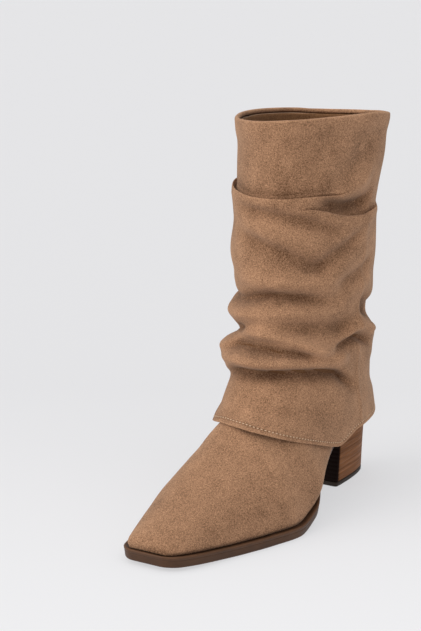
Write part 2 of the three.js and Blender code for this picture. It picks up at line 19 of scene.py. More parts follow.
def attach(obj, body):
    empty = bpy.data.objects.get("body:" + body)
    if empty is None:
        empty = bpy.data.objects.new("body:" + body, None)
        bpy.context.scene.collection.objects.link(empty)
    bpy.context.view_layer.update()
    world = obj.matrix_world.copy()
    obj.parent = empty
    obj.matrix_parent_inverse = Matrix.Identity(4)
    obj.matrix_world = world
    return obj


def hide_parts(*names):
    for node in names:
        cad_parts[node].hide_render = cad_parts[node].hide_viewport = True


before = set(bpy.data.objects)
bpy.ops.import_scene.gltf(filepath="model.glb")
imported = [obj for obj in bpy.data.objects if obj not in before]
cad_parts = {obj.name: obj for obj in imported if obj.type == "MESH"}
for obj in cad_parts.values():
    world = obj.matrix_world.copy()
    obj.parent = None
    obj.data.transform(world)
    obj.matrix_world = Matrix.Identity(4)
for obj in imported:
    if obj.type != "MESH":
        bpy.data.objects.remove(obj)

log = logging.getLogger("boot")
MM = 0.001
ROOT = "root"

Height = Callable[[np.ndarray], np.ndarray]
Colour = tuple[float, float, float, float]


# Curves and rings


def smooth_step(value: np.ndarray, low: float, high: float) -> np.ndarray:
    """Rises smoothly from 0 at low to 1 at high."""
    share = np.clip((np.asarray(value, float) - low) / (high - low), 0.0, 1.0)
    return share * share * (3.0 - 2.0 * share)


def bunched(count: int, amount: float) -> np.ndarray:
    """Shares from 0 to 1 that crowd towards both ends.

    Args:
        count: How many shares.
        amount: 0 for even shares, 1 for a full crowding.

    Returns:
        The shares in rising order.
    """
    even = np.linspace(0.0, 1.0, count)
    return even + (0.5 * (1.0 - np.cos(np.pi * even)) - even) * amount


class TableCurve:
    """A smooth curve through a table's column, with no overshoot between its rows."""

    def __init__(self, at: Sequence[float], value: Sequence[float]) -> None:
        """Keeps the rows and works out the slope at each.

        Args:
            at: Places of the rows, rising.
            value: The column's values.
        """
        self.at = np.asarray(at, float)
        self.value = np.asarray(value, float)
        chord = np.diff(self.value) / np.diff(self.at)
        slope = np.zeros_like(self.value)
        slope[0], slope[-1] = chord[0], chord[-1]
        product = chord[:-1] * chord[1:]
        total = np.where(np.abs(chord[:-1] + chord[1:]) < 1e-12, 1.0, chord[:-1] + chord[1:])
        slope[1:-1] = np.where(product > 0, 2.0 * product / total, 0.0)
        self.slope = slope

    def __call__(self, place: np.ndarray) -> np.ndarray:
        """Value of the curve at each place, held level past its ends."""
        x = np.clip(np.asarray(place, float), self.at[0], self.at[-1])
        i = np.clip(np.searchsorted(self.at, x, side="right") - 1, 0, len(self.at) - 2)
        span = self.at[i + 1] - self.at[i]
        s = (x - self.at[i]) / span
        rise = self.value[i + 1] - self.value[i]
        leave = self.slope[i] * span - rise
        arrive = self.slope[i + 1] * span - rise
        return self.value[i] + rise * s + s * (1 - s) * ((1 - s) * leave - s * arrive)


def table_curves(columns: Sequence[str], rows: Sequence[Sequence[float]]) -> dict[str, TableCurve]:
    """The columns of a table as curves over its first column.

    Args:
        columns: Names of the columns after the first.
        rows: Rows of numbers, the first one the place.

    Returns:
        One curve for each named column.
    """
    grid = np.asarray(rows, float)
    return {name: TableCurve(grid[:, 0], grid[:, i + 1]) for i, name in enumerate(columns)}


def table_value(rows: Sequence[Sequence[float]], at: np.ndarray) -> np.ndarray:
    """Value of a table's second column at each place of its first."""
    return table_curves(("value",), rows)["value"](at)


def round_angles(count: int) -> np.ndarray:
    """Even angles in degrees, once round from -180."""
    return -180.0 + 360.0 * np.arange(count) / count


# Meshes


def grid_faces(rows: int, columns: int) -> np.ndarray:
    """Quads of a grid of rings, closed round each ring.

    Args:
        rows: Number of rings.
        columns: Points in each ring.

    Returns:
        Corner indices, one row for each quad.
    """
    low = np.arange(rows - 1)[:, None] * columns + np.arange(columns)[None, :]
    turned = np.arange(rows - 1)[:, None] * columns + (np.arange(columns)[None, :] + 1) % columns
    quads = np.stack([low, turned, turned + columns, low + columns], axis=-1)
    return quads.reshape(-1, 4)


def add_object(name: str, data: bpy.types.ID | None) -> bpy.types.Object:
    """A new object in the scene, at the origin."""
    made = bpy.data.objects.new(name, data)
    bpy.context.scene.collection.objects.link(made)
    return made


def smooth_faces(mesh: bpy.types.Mesh) -> None:
    """Shades all the faces smoothly."""
    mesh.polygons.foreach_set("use_smooth", np.ones(len(mesh.polygons), bool))


def make_mesh(name: str, points: np.ndarray, faces: Iterable[Sequence[int]]) -> bpy.types.Object:
    """A smooth-shaded object at the origin from points in millimetres.

    Args:
        name: Name of the piece.
        points: Its points, one row each.
        faces: Its faces as corner indices.

    Returns:
        The linked object.
    """
    mesh = bpy.data.meshes.new(name)
    mesh.from_pydata((np.asarray(points) * MM).tolist(), [], [list(map(int, f)) for f in faces])
    mesh.validate()
    smooth_faces(mesh)
    mesh.update()
    return add_object(name, mesh)


def mesh_points(piece: bpy.types.Object) -> np.ndarray:
    """Points of a piece in millimetres, one row each."""
    flat = np.zeros(len(piece.data.vertices) * 3, np.float32)
    piece.data.vertices.foreach_get("co", flat)
    return flat.reshape(-1, 3).astype(float) / MM


def paint(piece: bpy.types.Object, name: str, values: np.ndarray) -> None:
    """Keeps a value for each point of a piece, for its material to read."""
    layer = piece.data.attributes.new(name, "FLOAT", "POINT")
    layer.data.foreach_set("value", np.clip(values, 0.0, 1.0).astype(np.float32).ravel())


def strips(start: int, count: int, flipped: bool) -> list[list[int]]:
    """Faces across a sole-shaped ring, from its outer to its inner side.

    Args:
        start: Index of the ring's first point.
        count: Points in the ring.
        flipped: Turns the faces over.

    Returns:
        The faces as corner indices.
    """
    faces = []
    for i in range(count // 2 - 1):
        quad = [start + i, start + i + 1, start + count - 2 - i, start + count - 1 - i]
        faces.append(quad[::-1] if flipped else quad)
    return faces


def sole_loft(name: str, rings: Sequence[np.ndarray]) -> bpy.types.Object:
    """A closed piece through sole-shaped rings, lidded with strips.

    Args:
        name: Name of the piece.
        rings: Rings of points from the bottom to the top.

    Returns:
        The piece.
    """
    count = len(rings[0])
    faces = grid_faces(len(rings), count).tolist()
    faces += strips(0, count, True)
    faces += strips((len(rings) - 1) * count, count, False)
    return make_mesh(name, np.vstack(rings), faces)


def lidded_loft(name: str, rings: Sequence[np.ndarray]) -> bpy.types.Object:
    """A closed piece through rings, with a flat lid at each end.

    Args:
        name: Name of the piece.
        rings: Rings of points from one end to the other.

    Returns:
        The piece.
    """
    count = len(rings[0])
    last = (len(rings) - 1) * count
    faces = grid_faces(len(rings), count).tolist()
    faces += [list(range(count))[::-1], list(range(last, last + count))]
    return make_mesh(name, np.vstack(rings), faces)


def assign(piece: bpy.types.Object, *materials: bpy.types.Material) -> None:
    """Puts materials into a piece's slots, in order."""
    piece.data.materials.clear()
    for material in materials:
        piece.data.materials.append(material)


def applied(piece: bpy.types.Object) -> bpy.types.Object:
    """Turns a piece with modifiers into a plain mesh, and returns it."""
    graph = bpy.context.evaluated_depsgraph_get()
    plain = bpy.data.meshes.new_from_object(piece.evaluated_get(graph), depsgraph=graph)
    old = piece.data
    piece.modifiers.clear()
    piece.data = plain
    bpy.data.meshes.remove(old)
    return piece


def dress(piece: bpy.types.Object, slot: str, *nodes: str) -> None:
    """Rides a piece on the boot, logs the name of its finish and hides the nodes that it stands for."""
    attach(piece, ROOT)
    if nodes:
        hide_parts(*nodes)
    log.info("%s: %d faces, slot %s", piece.name, len(piece.data.polygons), slot)


# The boot's plan


@dataclass(frozen=True)
class SolePlan:
    """Outline and side line of the sole, from which sole, insole and foot are made."""

    length: float = 266.0
    ball_width: float = 86.0
    back: float = -27.0
    heel_height: float = 50.0
    heel_round: float = 26.0
    heel_flat: float = 4.4
    toe_corner: float = 9.0
    fore_thickness: float = 7.6
    seat_thickness: float = 5.5
    toe_spring: float = 3.0
    shelf_width: float = 3.0
    seat_margin: float = 1.2
    stations: int = 190
    rows: tuple[tuple[float, ...], ...] = (
        (0.0, 0.285, 0.285, 1.1, 0),
        (0.1, 0.297, 0.297, 1.04, 0),
        (0.2, 0.325, 0.3, 0.95, 0),
        (0.32, 0.405, 0.26, 0.75, 0),
        (0.43, 0.495, 0.225, 0.42, 0),
        (0.52, 0.615, 0.28, 0.13, 0),
        (0.6, 0.63, 0.355, 0, 0),
        (0.7, 0.565, 0.41, 0, 0),
        (0.78, 0.49, 0.415, 0, 0.04),
        (0.86, 0.41, 0.36, 0, 0.26),
        (0.93, 0.34, 0.29, 0, 0.6),
        (1.0, 0.24, 0.205, 0, 1),
    )
    curves: dict[str, TableCurve] = field(init=False, compare=False)

    def __post_init__(self) -> None:
        """Makes the curves of the table."""
        names = ("lateral", "medial", "rise", "spring")
        object.__setattr__(self, "curves", table_curves(names, self.rows))

    def share(self, x: np.ndarray) -> np.ndarray:
        """Share of the sole's length at a place along the boot."""
        return (np.asarray(x, float) - self.back) / self.length

    def underside(self, x: np.ndarray) -> np.ndarray:
        """Height of the sole's underside."""
        at = self.share(x)
        rise = self.curves["rise"](at) * self.heel_height
        return rise + self.curves["spring"](at) * self.toe_spring

    def bed(self, x: np.ndarray) -> np.ndarray:
        """Height of the sole's top, where upper and insole stand."""
        forward = smooth_step(self.share(x), 0.3, 0.6)
        thickness = self.seat_thickness + (self.fore_thickness - self.seat_thickness) * forward
        return self.underside(x) + thickness

    def shelf(self, x: np.ndarray) -> np.ndarray:
        """Width of the sole's top that shows outside the upper."""
        forward = smooth_step(self.share(x), 0.1, 0.5)
        return self.seat_margin + (self.shelf_width - self.seat_margin) * forward

    def half_width(self, x: np.ndarray, side: str) -> np.ndarray:
        """Half width on one side, round at the heel and at the toe's corners."""
        width = self.curves[side](self.share(x)) * self.ball_width
        from_heel = np.clip(x - self.back, 0, self.heel_round)
        from_toe = np.clip(self.back + self.length - x, 0, self.toe_corner)
        heel_share = np.sqrt(1 - (1 - from_heel / self.heel_round) ** 2)
        cut = self.toe_corner - np.sqrt(self.toe_corner**2 - (self.toe_corner - from_toe) ** 2)
        return width * heel_share - cut

    def places(self, count: int) -> np.ndarray:
        """Places along the sole, closer together at heel and toe."""
        return self.back + self.length * bunched(count, 0.8)

    def ring(self, margin: Height, height: Height) -> np.ndarray:
        """A ring over the sole's outline.

        Args:
            margin: How far inside the outline, by place along the boot.
            height: Height, by place along the boot.

        Returns:
            Points from the heel up the inner side to the toe and back.
        """
        x = self.places(self.stations)
        outer = np.stack([x, self.half_width(x, "lateral")], axis=1)
        inner = np.stack([x, -self.half_width(x, "medial")], axis=1)
        outer[0, 1] = max(outer[0, 1], self.heel_flat / 2)
        inner[0, 1] = min(inner[0, 1], -self.heel_flat / 2)
        loop = np.vstack([outer, inner[::-1]])
        along = np.roll(loop, -1, axis=0) - np.roll(loop, 1, axis=0)
        along /= np.linalg.norm(along, axis=1, keepdims=True)
        inward = np.stack([along[:, 1], -along[:, 0]], axis=1)
        moved = loop + inward * margin(loop[:, 0])[:, None]
        return np.column_stack([moved, height(moved[:, 0])])[::-1]


def level(value: float) -> Height:
    """The same value at every place."""
    return lambda x: np.full_like(np.asarray(x, float), value)


PLAN = SolePlan()
FIT = 0.3


# Shader kit


class Shade:
    """Adds nodes to a material's or a group's tree and links them."""

    def __init__(self, tree: bpy.types.NodeTree) -> None:
        """Keeps the tree."""
        self.tree = tree

    def add(self, kind: str, inputs: dict | None = None, **settings: object) -> bpy.types.Node:
        """Adds a node.

        Args:
            kind: The node's type.
            inputs: Values or output sockets by input name or number.
            settings: The node's own properties.

        Returns:
            The node.
        """
        node = self.tree.nodes.new(kind)
        for name, value in settings.items():
            setattr(node, name, value)
        self.fill(node.inputs, inputs or {})
        return node

    def fill(self, sockets: object, values: dict) -> None:
        """Sets sockets to values or links them to output sockets, by name or number."""
        for key, value in values.items():
            if isinstance(value, bpy.types.NodeSocket):
                self.tree.links.new(value, sockets[key])
            else:
                sockets[key].default_value = value

    def math(self, operation: str, a: object, b: object = 0.0) -> bpy.types.NodeSocket:
        """Result of one operation on two values."""
        return self.add("ShaderNodeMath", {0: a, 1: b}, operation=operation).outputs[0]

    def plus(self, a: object, b: object) -> bpy.types.NodeSocket:
        """Sum of two values."""
        return self.math("ADD", a, b)

    def times(self, a: object, b: object) -> bpy.types.NodeSocket:
        """Product of two values."""
        return self.math("MULTIPLY", a, b)

    def bump(self, strength: float, distance: float, height: object) -> bpy.types.NodeSocket:
        """A normal that a height raises."""
        inputs = {"Strength": strength, "Distance": distance, "Height": height}
        return self.add("ShaderNodeBump", inputs).outputs[0]

    def mix(self, factor: object, a: object, b: object, blend: str = "MIX") -> bpy.types.NodeSocket:
        """A colour between two colours."""
        node = self.add("ShaderNodeMix", {0: factor, 6: a, 7: b}, data_type="RGBA", blend_type=blend)
        return node.outputs[2]

    def place(self, scale: tuple[float, float, float], turn: tuple = (0, 0, 0)) -> bpy.types.NodeSocket:
        """The piece's own coordinates in metres, turned and stretched."""
        spot = self.add("ShaderNodeTexCoord").outputs["Object"]
        mapping = self.add("ShaderNodeMapping", {"Vector": spot, "Scale": scale, "Rotation": turn})
        return mapping.outputs[0]

    def noise(self, spot: object, scale: float, detail: float = 3.0, rough: float = 0.55) -> object:
        """Soft noise from 0 to 1."""
        inputs = {"Vector": spot, "Scale": scale, "Detail": detail, "Roughness": rough}
        return self.add("ShaderNodeTexNoise", inputs).outputs["Fac"]

    def ramp(self, value: object, low: float, high: float, to_low: float, to_high: float) -> object:
        """A value carried from one range to another and kept inside it."""
        inputs = {"Value": value, "From Min": low, "From Max": high, "To Min": to_low, "To Max": to_high}
        return self.add("ShaderNodeMapRange", inputs).outputs["Result"]


def finish_group(name: str, *values: str) -> tuple[Shade, dict, dict]:
    """An empty shader group from a dark and a light colour to a finish.

    Args:
        name: Name of the group.
        values: Names of its inputs that are values.
    """
    tree = bpy.data.node_groups.new(name, "ShaderNodeTree")
    value, colour = "NodeSocketFloat", "NodeSocketColor"
    inputs = {"Dark": colour, "Light": colour} | {key: value for key in values}
    outputs = {"Color": colour, "Roughness": value, "Height": value}
    for way, sockets in (("INPUT", inputs), ("OUTPUT", outputs)):
        for socket, kind in sockets.items():
            tree.interface.new_socket(socket, in_out=way, socket_type=kind)
    entry = tree.nodes.new("NodeGroupInput")
    leave = tree.nodes.new("NodeGroupOutput")
    return Shade(tree), dict(entry.outputs.items()), dict(leave.inputs.items())


class SharedGroups:
    """The shader groups that more than one finish uses, each built once."""

    def __init__(self) -> None:
        """Builds the nap group and the mottle group."""
        self.nap = self.build_nap()
        self.mottle = self.build_mottle()

    def mottled(self, shade: Shade, dark: Colour, light: Colour, amount: float, wear_and_highlight: object = 0.0) -> object:
        """Adds the mottle group to a material.

        Args:
            shade: Kit on the material's tree.
            dark: Its dark colour.
            light: Its light colour.
            amount: How strong the clouds and scuffs are.
            wear_and_highlight: How much lighter the surface is painted, for wear and painted highlight.

        Returns:
            The group's outputs.
        """
        inputs = {"Dark": dark, "Light": light, "Amount": amount, "WearAndHighlight": wear_and_highlight}
        return shade.add("ShaderNodeGroup", inputs, node_tree=self.mottle).outputs

    @staticmethod
    def build_nap() -> bpy.types.NodeTree:
        """Brushed suede: clouds, flecks and grain between a dark and a light colour, painted lighter where wear
        and painted highlight are marked and darker where painted shade is marked.
        """
        shade, into, out = finish_group("suede_nap", "Cloud", "Fleck", "WearAndHighlight", "PaintedShade")
        flat = shade.place((1.0, 1.0, 1.0))
        cloud = shade.noise(flat, 26.0, 4.0, 0.55)
        patch = shade.noise(flat, 95.0, 3.0, 0.55)
        fleck = shade.noise(flat, 1050.0, 2.0, 0.6)
        grain = shade.noise(flat, 2300.0, 2.0, 0.7)
        lifted = shade.plus(shade.math("SUBTRACT", cloud, 0.5), shade.math("SUBTRACT", patch, 0.5))
        lifted = shade.times(lifted, into["Cloud"])
        fine = shade.times(shade.math("SUBTRACT", fleck, 0.5), 0.7)
        fine = shade.plus(fine, shade.math("SUBTRACT", grain, 0.5))
        fine = shade.times(fine, into["Fleck"])
        tone = shade.plus(shade.plus(lifted, fine), 0.5)
        # Painted highlight and wear: marked edges and ridges are painted lighter.
        tone = shade.plus(tone, shade.times(into["WearAndHighlight"], 0.3))
        # Painted shade: marked creases, folds and corners are painted darker.
        tone = shade.math("SUBTRACT", tone, shade.times(into["PaintedShade"], 0.58))
        tone = shade.ramp(tone, -0.2, 1.2, 0.0, 1.0)
        height = shade.plus(shade.times(fleck, 0.5), shade.times(grain, 0.5))
        shade.fill(out, {"Color": shade.mix(tone, into["Dark"], into["Light"]), "Height": height,
                         "Roughness": shade.ramp(grain, 0.3, 0.7, 0.88, 1.0)})
        return shade.tree

    @staticmethod
    def build_mottle() -> bpy.types.NodeTree:
        """Moulded or polished surface: faint clouds, specks and scuffs, painted lighter where wear and painted
        highlight are marked.
        """
        shade, into, out = finish_group("mottle", "WearAndHighlight", "Amount")
        flat = shade.place((1.0, 1.0, 1.0))
        long = shade.place((0.25, 0.25, 1.0))
        cloud = shade.noise(flat, 60.0, 4.0, 0.6)
        speck = shade.noise(flat, 1400.0, 2.0, 0.5)
        scuff = shade.noise(long, 420.0, 4.0, 0.65)
        tone = shade.plus(shade.math("SUBTRACT", cloud, 0.5), shade.math("SUBTRACT", scuff, 0.5))
        tone = shade.plus(shade.times(tone, into["Amount"]), 0.45)
        # Painted highlight and wear: marked edges are painted lighter.
        tone = shade.plus(tone, shade.times(into["WearAndHighlight"], 0.5))
        tone = shade.ramp(tone, 0.0, 1.0, 0.0, 1.0)
        height = shade.plus(shade.times(speck, 0.5), shade.times(scuff, 0.5))
        shade.fill(out, {"Color": shade.mix(tone, into["Dark"], into["Light"]), "Height": height,
                         "Roughness": shade.ramp(scuff, 0.3, 0.7, -0.1, 0.1)})
        return shade.tree


def start_material(name: str) -> tuple[bpy.types.Material, Shade, bpy.types.Node]:
    """A new node material with its plain shader.

    Args:
        name: Name of the material.

    Returns:
        The material, a kit on its tree and its shader node.
    """
    material = bpy.data.materials.new(name)
    material.use_nodes = True
    shade = Shade(material.node_tree)
    shader = next(n for n in material.node_tree.nodes if n.type == "BSDF_PRINCIPLED")
    return material, shade, shader


def attribute(shade: Shade, name: str) -> bpy.types.NodeSocket:
    """A value that was painted on the piece."""
    return shade.add("ShaderNodeAttribute", attribute_name=name).outputs["Fac"]


@dataclass(frozen=True)
class SuedeFinish:
    """Brushed suede."""

    name: str
    dark: Colour = (0.1, 0.045, 0.021, 1.0)
    light: Colour = (0.56, 0.31, 0.175, 1.0)
    cloud: float = 0.62
    fleck: float = 2.6
    bump: float = 0.4
    sheen: float = 0.2

    def build(self, groups: SharedGroups) -> bpy.types.Material:
        """The material, from the shared nap group.

        Args:
            groups: The shared shader groups.

        Returns:
            The material.
        """
        material, shade, shader = start_material(self.name)
        # The piece's painted marks: lighter for wear and painted highlight, darker for painted shade.
        painted = {"WearAndHighlight": attribute(shade, "wear_and_highlight"), "PaintedShade": attribute(shade, "hollow")}
        nap = shade.add("ShaderNodeGroup", {"Dark": self.dark, "Light": self.light, "Cloud": self.cloud,
                                            "Fleck": self.fleck} | painted, node_tree=groups.nap).outputs
        shade.fill(shader.inputs, {
            "Base Color": nap["Color"], "Roughness": nap["Roughness"],
            "Normal": shade.bump(self.bump, 0.0006, nap["Height"]), "Specular IOR Level": 0.12,
            "Sheen Weight": self.sheen, "Sheen Roughness": 0.55, "Sheen Tint": (0.95, 0.78, 0.62, 1.0)})
        return material


@dataclass(frozen=True)
class PolishedFinish:
    """Rubber, edge paint or lining: a mottled surface with a set gloss."""

    name: str
    dark: Colour
    light: Colour
    gloss: float = 0.45
    amount: float = 0.6
    bump: float = 0.15

    def build(self, groups: SharedGroups) -> bpy.types.Material:
        """The material, from the shared mottle group.

        Args:
            groups: The shared shader groups.

        Returns:
            The material.
        """
        material, shade, shader = start_material(self.name)
        # Marked edges are painted lighter: wear and painted highlight.
        mottle = groups.mottled(shade, self.dark, self.light, self.amount, attribute(shade, "wear_and_highlight"))
        shade.fill(shader.inputs, {
            "Base Color": mottle["Color"], "Roughness": shade.plus(mottle["Roughness"], self.gloss),
            "Normal": shade.bump(self.bump, 0.0003, mottle["Height"]), "Specular IOR Level": 0.22})
        return material


@dataclass(frozen=True)
class StackFinish:
    """Stacked leather: fine, slightly tilted lines of light and dark leather, with a painted shadow on the
    breast face.
    """

    name: str = "stacked_leather"
    dark: Colour = (0.1, 0.037, 0.014, 1.0)
    light: Colour = (0.34, 0.142, 0.055, 1.0)
    # Colour of the painted shadow on the breast face.
    breast_shadow: Colour = (0.008, 0.003, 0.002, 1.0)
    tilt: float = math.radians(8.0)

    def build(self, groups: SharedGroups) -> bpy.types.Material:
        """The material.

        Args:
            groups: The shared shader groups, of which it uses the mottle.

        Returns:
            The material.
        """
        material, shade, shader = start_material(self.name)
        lines = shade.place((0.03, 0.03, 1.0), (0.0, -self.tilt, 0.0))
        broad = shade.noise(lines, 330.0, 2.0, 0.5)
        fine = shade.noise(lines, 1100.0, 3.0, 0.7)
        mottle = groups.mottled(shade, self.dark, self.light, 0.5)
        drawn = shade.plus(shade.times(broad, 0.55), shade.times(fine, 0.45))
        drawn = shade.ramp(drawn, 0.34, 0.66, 0.0, 1.0)
        banded = shade.mix(drawn, self.dark, self.light)
        colour = shade.mix(0.3, banded, mottle["Color"])
        # Painted shadow: the marked breast face is painted near black.
        colour = shade.mix(attribute(shade, "hollow"), colour, self.breast_shadow)
        shade.fill(shader.inputs, {
            "Base Color": colour, "Roughness": shade.ramp(drawn, 0.0, 1.0, 0.55, 0.42),
            "Normal": shade.bump(0.25, 0.0003, drawn), "Specular IOR Level": 0.05})
        return material


@dataclass(frozen=True)
class TreadFinish:
    """Ribbed rubber of the tread, with level ribs across the sole."""

    name: str = "sole_tread"
    dark: Colour = (0.03, 0.017, 0.01, 1.0)
    light: Colour = (0.11, 0.062, 0.038, 1.0)
    pitch: float = 0.0045

    def build(self, groups: SharedGroups) -> bpy.types.Material:
        """The material.

        Args:
            groups: The shared shader groups, of which it uses the mottle.

        Returns:
            The material.
        """
        material, shade, shader = start_material(self.name)
        spot = shade.add("ShaderNodeTexCoord").outputs["Object"]
        along = shade.add("ShaderNodeSeparateXYZ", {0: spot}).outputs[0]
        wave = shade.math("SINE", shade.times(along, 2.0 * math.pi / self.pitch))
        rib = shade.ramp(wave, -0.35, 0.35, 0.0, 1.0)
        mottle = groups.mottled(shade, self.dark, self.light, 0.7)
        # Painted shade: the grooves between the ribs are painted darker.
        colour = shade.mix(shade.ramp(rib, 0.0, 1.0, 0.6, 0.0), mottle["Color"], self.dark)
        shade.fill(shader.inputs, {
            "Base Color": colour, "Normal": shade.bump(0.9, 0.0008, rib), "Roughness": 0.62})
        return material


@dataclass(frozen=True)
class FloorFinish:
    """Pale matt studio floor that glows as painted light, a little lighter in front of the boot than behind it.
    """

    name: str = "studio_floor"
    base: Colour = (0.28, 0.28, 0.285, 1.0)
    behind: Colour = (0.5, 0.5, 0.51, 1.0)
    before: Colour = (0.6, 0.6, 0.61, 1.0)
    forward: tuple[float, float, float] = (0.8324, 0.5542, 0.0)
    span: tuple[float, float] = (-0.25, 0.4)

    def build(self) -> bpy.types.Material:
        """The material, its painted glow graded from behind the boot to the front."""
        material, shade, shader = start_material(self.name)
        spot = shade.add("ShaderNodeTexCoord").outputs["Object"]
        ahead = shade.add("ShaderNodeVectorMath", {0: spot, 1: self.forward}, operation="DOT_PRODUCT")
        share = shade.ramp(ahead.outputs["Value"], *self.span, 0.0, 1.0)
        glow = shade.mix(share, self.behind, self.before)
        # Painted light: the floor glows by emission, brighter in front of the boot.
        shade.fill(shader.inputs, {
            "Emission Color": glow, "Emission Strength": 1.0, "Base Color": self.base,
            "Roughness": 0.9, "Specular IOR Level": 0.1})
        return material


# Sole, heel and insole


@dataclass(frozen=True)
class Outsole:
    """The outsole: a ribbed, slightly sunk tread, a leaning side with a fine line, a rounded top."""

    rim: float = 8.0
    sunk: float = 0.5
    line: float = 2.5

    def build(self, edge: bpy.types.Material, tread: bpy.types.Material) -> bpy.types.Object:
        """Makes and dresses the outsole.

        Args:
            edge: Finish of the side and the top.
            tread: Finish of the ribbed underside.

        Returns:
            The piece.
        """
        under, bed = PLAN.underside, PLAN.bed
        # Each step: margin, height and how much lighter it is painted; the rounded top edge gets a painted
        # highlight.
        steps: list[tuple[float, Height, float]] = [
            (self.rim + 0.8, lambda x: under(x) + self.sunk, 0.0),
            (self.rim, lambda x: under(x) + 0.1, 0.0),
            (self.rim - 0.6, under, 0.1),
            (1.9, under, 0.1),
            (1.2, lambda x: under(x) + 0.25, 0.2),
            (0.9, lambda x: under(x) + 0.8, 0.2),
            (0.75, lambda x: under(x) + 1.5, 0.1),
            (0.45, lambda x: bed(x) - self.line - 0.7, 0.2),
            (0.35, lambda x: bed(x) - self.line - 0.25, 0.3),
            (0.6, lambda x: bed(x) - self.line, 0.0),
            (0.25, lambda x: bed(x) - self.line + 0.25, 0.4),
            (0.08, lambda x: bed(x) - 1.5, 0.4),
            (0.0, lambda x: bed(x) - 0.8, 0.6),
            (0.12, lambda x: bed(x) - 0.35, 1.0),
            (0.45, lambda x: bed(x) - 0.06, 1.0),
            (0.9, bed, 0.7),
            (1.8, lambda x: bed(x) - 0.1, 0.2),
            (2.5, lambda x: bed(x) - 0.3, 0.0),
            (4.5, lambda x: bed(x) - 0.3, 0.0),
        ]
        rings = [PLAN.ring(level(margin), height) for margin, height, _ in steps]
        piece = sole_loft("outsole_rubber", rings)
        wear_and_highlight = np.repeat([value for _, _, value in steps], len(rings[0]))
        paint(piece, "wear_and_highlight", wear_and_highlight)
        assign(piece, edge, tread)
        flat = len(rings[0]) // 2 - 1
        index = np.zeros(len(piece.data.polygons), np.int32)
        index[-2 * flat:-flat] = 1
        piece.data.polygons.foreach_set("material_index", index)
        dress(piece, "sole_rubber", "outsole")
        return piece


@dataclass(frozen=True)
class StackedHeel:
    """The block heel with its layers, and the top lift under it."""

    base_length: float = 56.0
    base_width: float = 41.0
    top_width: float = 47.0
    breast_lean: float = 2.0
    corner: float = 2.0
    taper: float = 1.5
    square: float = 4.0
    lift: float = 3.5
    layer: float = 3.3
    groove: float = 0.12
    groove_half: float = 0.22
    breast_shade: tuple[float, float] = (25.2, 26.2)
    side_steps: int = 40

    def ring(self, share: float, height: Height, inset: float = 0.0) -> np.ndarray:
        """A section of the heel, flat at the breast, squarish behind and rounder at the seat.

        Args:
            share: 0 at the ground, 1 at the seat.
            height: Height by place along the boot.
            inset: How far inside the block.

        Returns:
            Points of the ring.
        """
        half = (self.base_width + (self.top_width - self.base_width) * share) / 2 - inset
        breast = self.base_length / 2 - self.breast_lean * share - inset
        back = -self.base_length / 2 * (1 - share) + (PLAN.back + FIT) * share + inset
        s = np.sin(np.linspace(0.0, 0.5 * np.pi, self.side_steps))
        x = breast - self.corner + (back - breast + self.corner) * s
        base = (1 - s**self.taper).clip(0) ** (1 / self.square)
        seat = np.sqrt(1 - (1 - ((x - back) / PLAN.heel_round).clip(0, 1)) ** 2)
        side = np.column_stack([x, half * (base + (seat - base) * share)])
        bend = np.linspace(-0.5 * np.pi, 0.0, 7)[1:]
        low = np.column_stack([breast - self.corner + self.corner * np.cos(bend),
                               -half + self.corner + self.corner * np.sin(bend)])
        plan = np.vstack([side, side[-2::-1] * (1, -1), low, low[::-1] * (1, -1)])
        return np.column_stack([plan, height(plan[:, 0])])

    def build_block(self, leather: bpy.types.Material) -> bpy.types.Object:
        """Makes and dresses the block: thin layers with a fine groove between them."""
        foot = self.lift + FIT
        tall = PLAN.heel_height - foot
        rings: list[np.ndarray] = []
        wear_and_highlight: list[float] = []

        def add(z: float, inset: float, rubbed_and_lit: float) -> None:
            """Adds one ring at a height above the lift."""
            share = z / tall
            height = lambda x: foot + (PLAN.underside(x) - FIT - foot) * share
            rings.append(self.ring((self.lift + z * (1 - self.lift / PLAN.heel_height)) / PLAN.heel_height,
                                   height, inset))
            wear_and_highlight.append(rubbed_and_lit)

        # The bottom edge is painted lighter: wear and painted highlight.
        add(0.0, 0.7, 0.2)
        add(0.25, 0.2, 0.5)
        add(0.7, 0.0, 0.3)
        z = self.layer
        while z < tall - 1.5:
            add(z - self.groove_half, 0.0, 0.0)
            add(z, self.groove, 0.0)
            add(z + self.groove_half, 0.0, 0.0)
            z += self.layer
        add(tall - 0.5, 0.0, 0.0)
        add(tall, 0.5, 0.0)
        piece = lidded_loft("stacked_heel_block", rings)
        paint(piece, "wear_and_highlight", np.repeat(wear_and_highlight, len(rings[0])))
        # Painted shadow on the breast face, which faces the arch and lies in its shade.
        paint(piece, "hollow", smooth_step(mesh_points(piece)[:, 0], *self.breast_shade))
        assign(piece, leather)
        dress(piece, "stacked_leather", "heel_block")
        return piece

    def build_lift(self, rubber: bpy.types.Material) -> bpy.types.Object:
        """Makes and dresses the top lift, with rounded edges and a sunk ground face."""
        # Each step: inset, height and how much lighter it is painted; the rounded edges get wear and painted
        # highlight.
        steps = [(3.0, 0.35, 0.0), (2.4, 0.0, 0.1), (0.9, 0.0, 0.3), (0.3, 0.25, 0.5), (0.0, 0.7, 0.3),
                 (0.0, 1.7, 0.1), (0.0, self.lift - 0.5, 0.2), (0.15, self.lift - 0.12, 0.4),
                 (0.5, self.lift, 0.2)]
        rings = [self.ring(z / PLAN.heel_height, level(z), inset) for inset, z, _ in steps]
        piece = lidded_loft("heel_top_lift", rings)
        paint(piece, "wear_and_highlight", np.repeat([value for _, _, value in steps], len(rings[0])))
        assign(piece, rubber)
        dress(piece, "lift_rubber", "top_lift")
        return piece


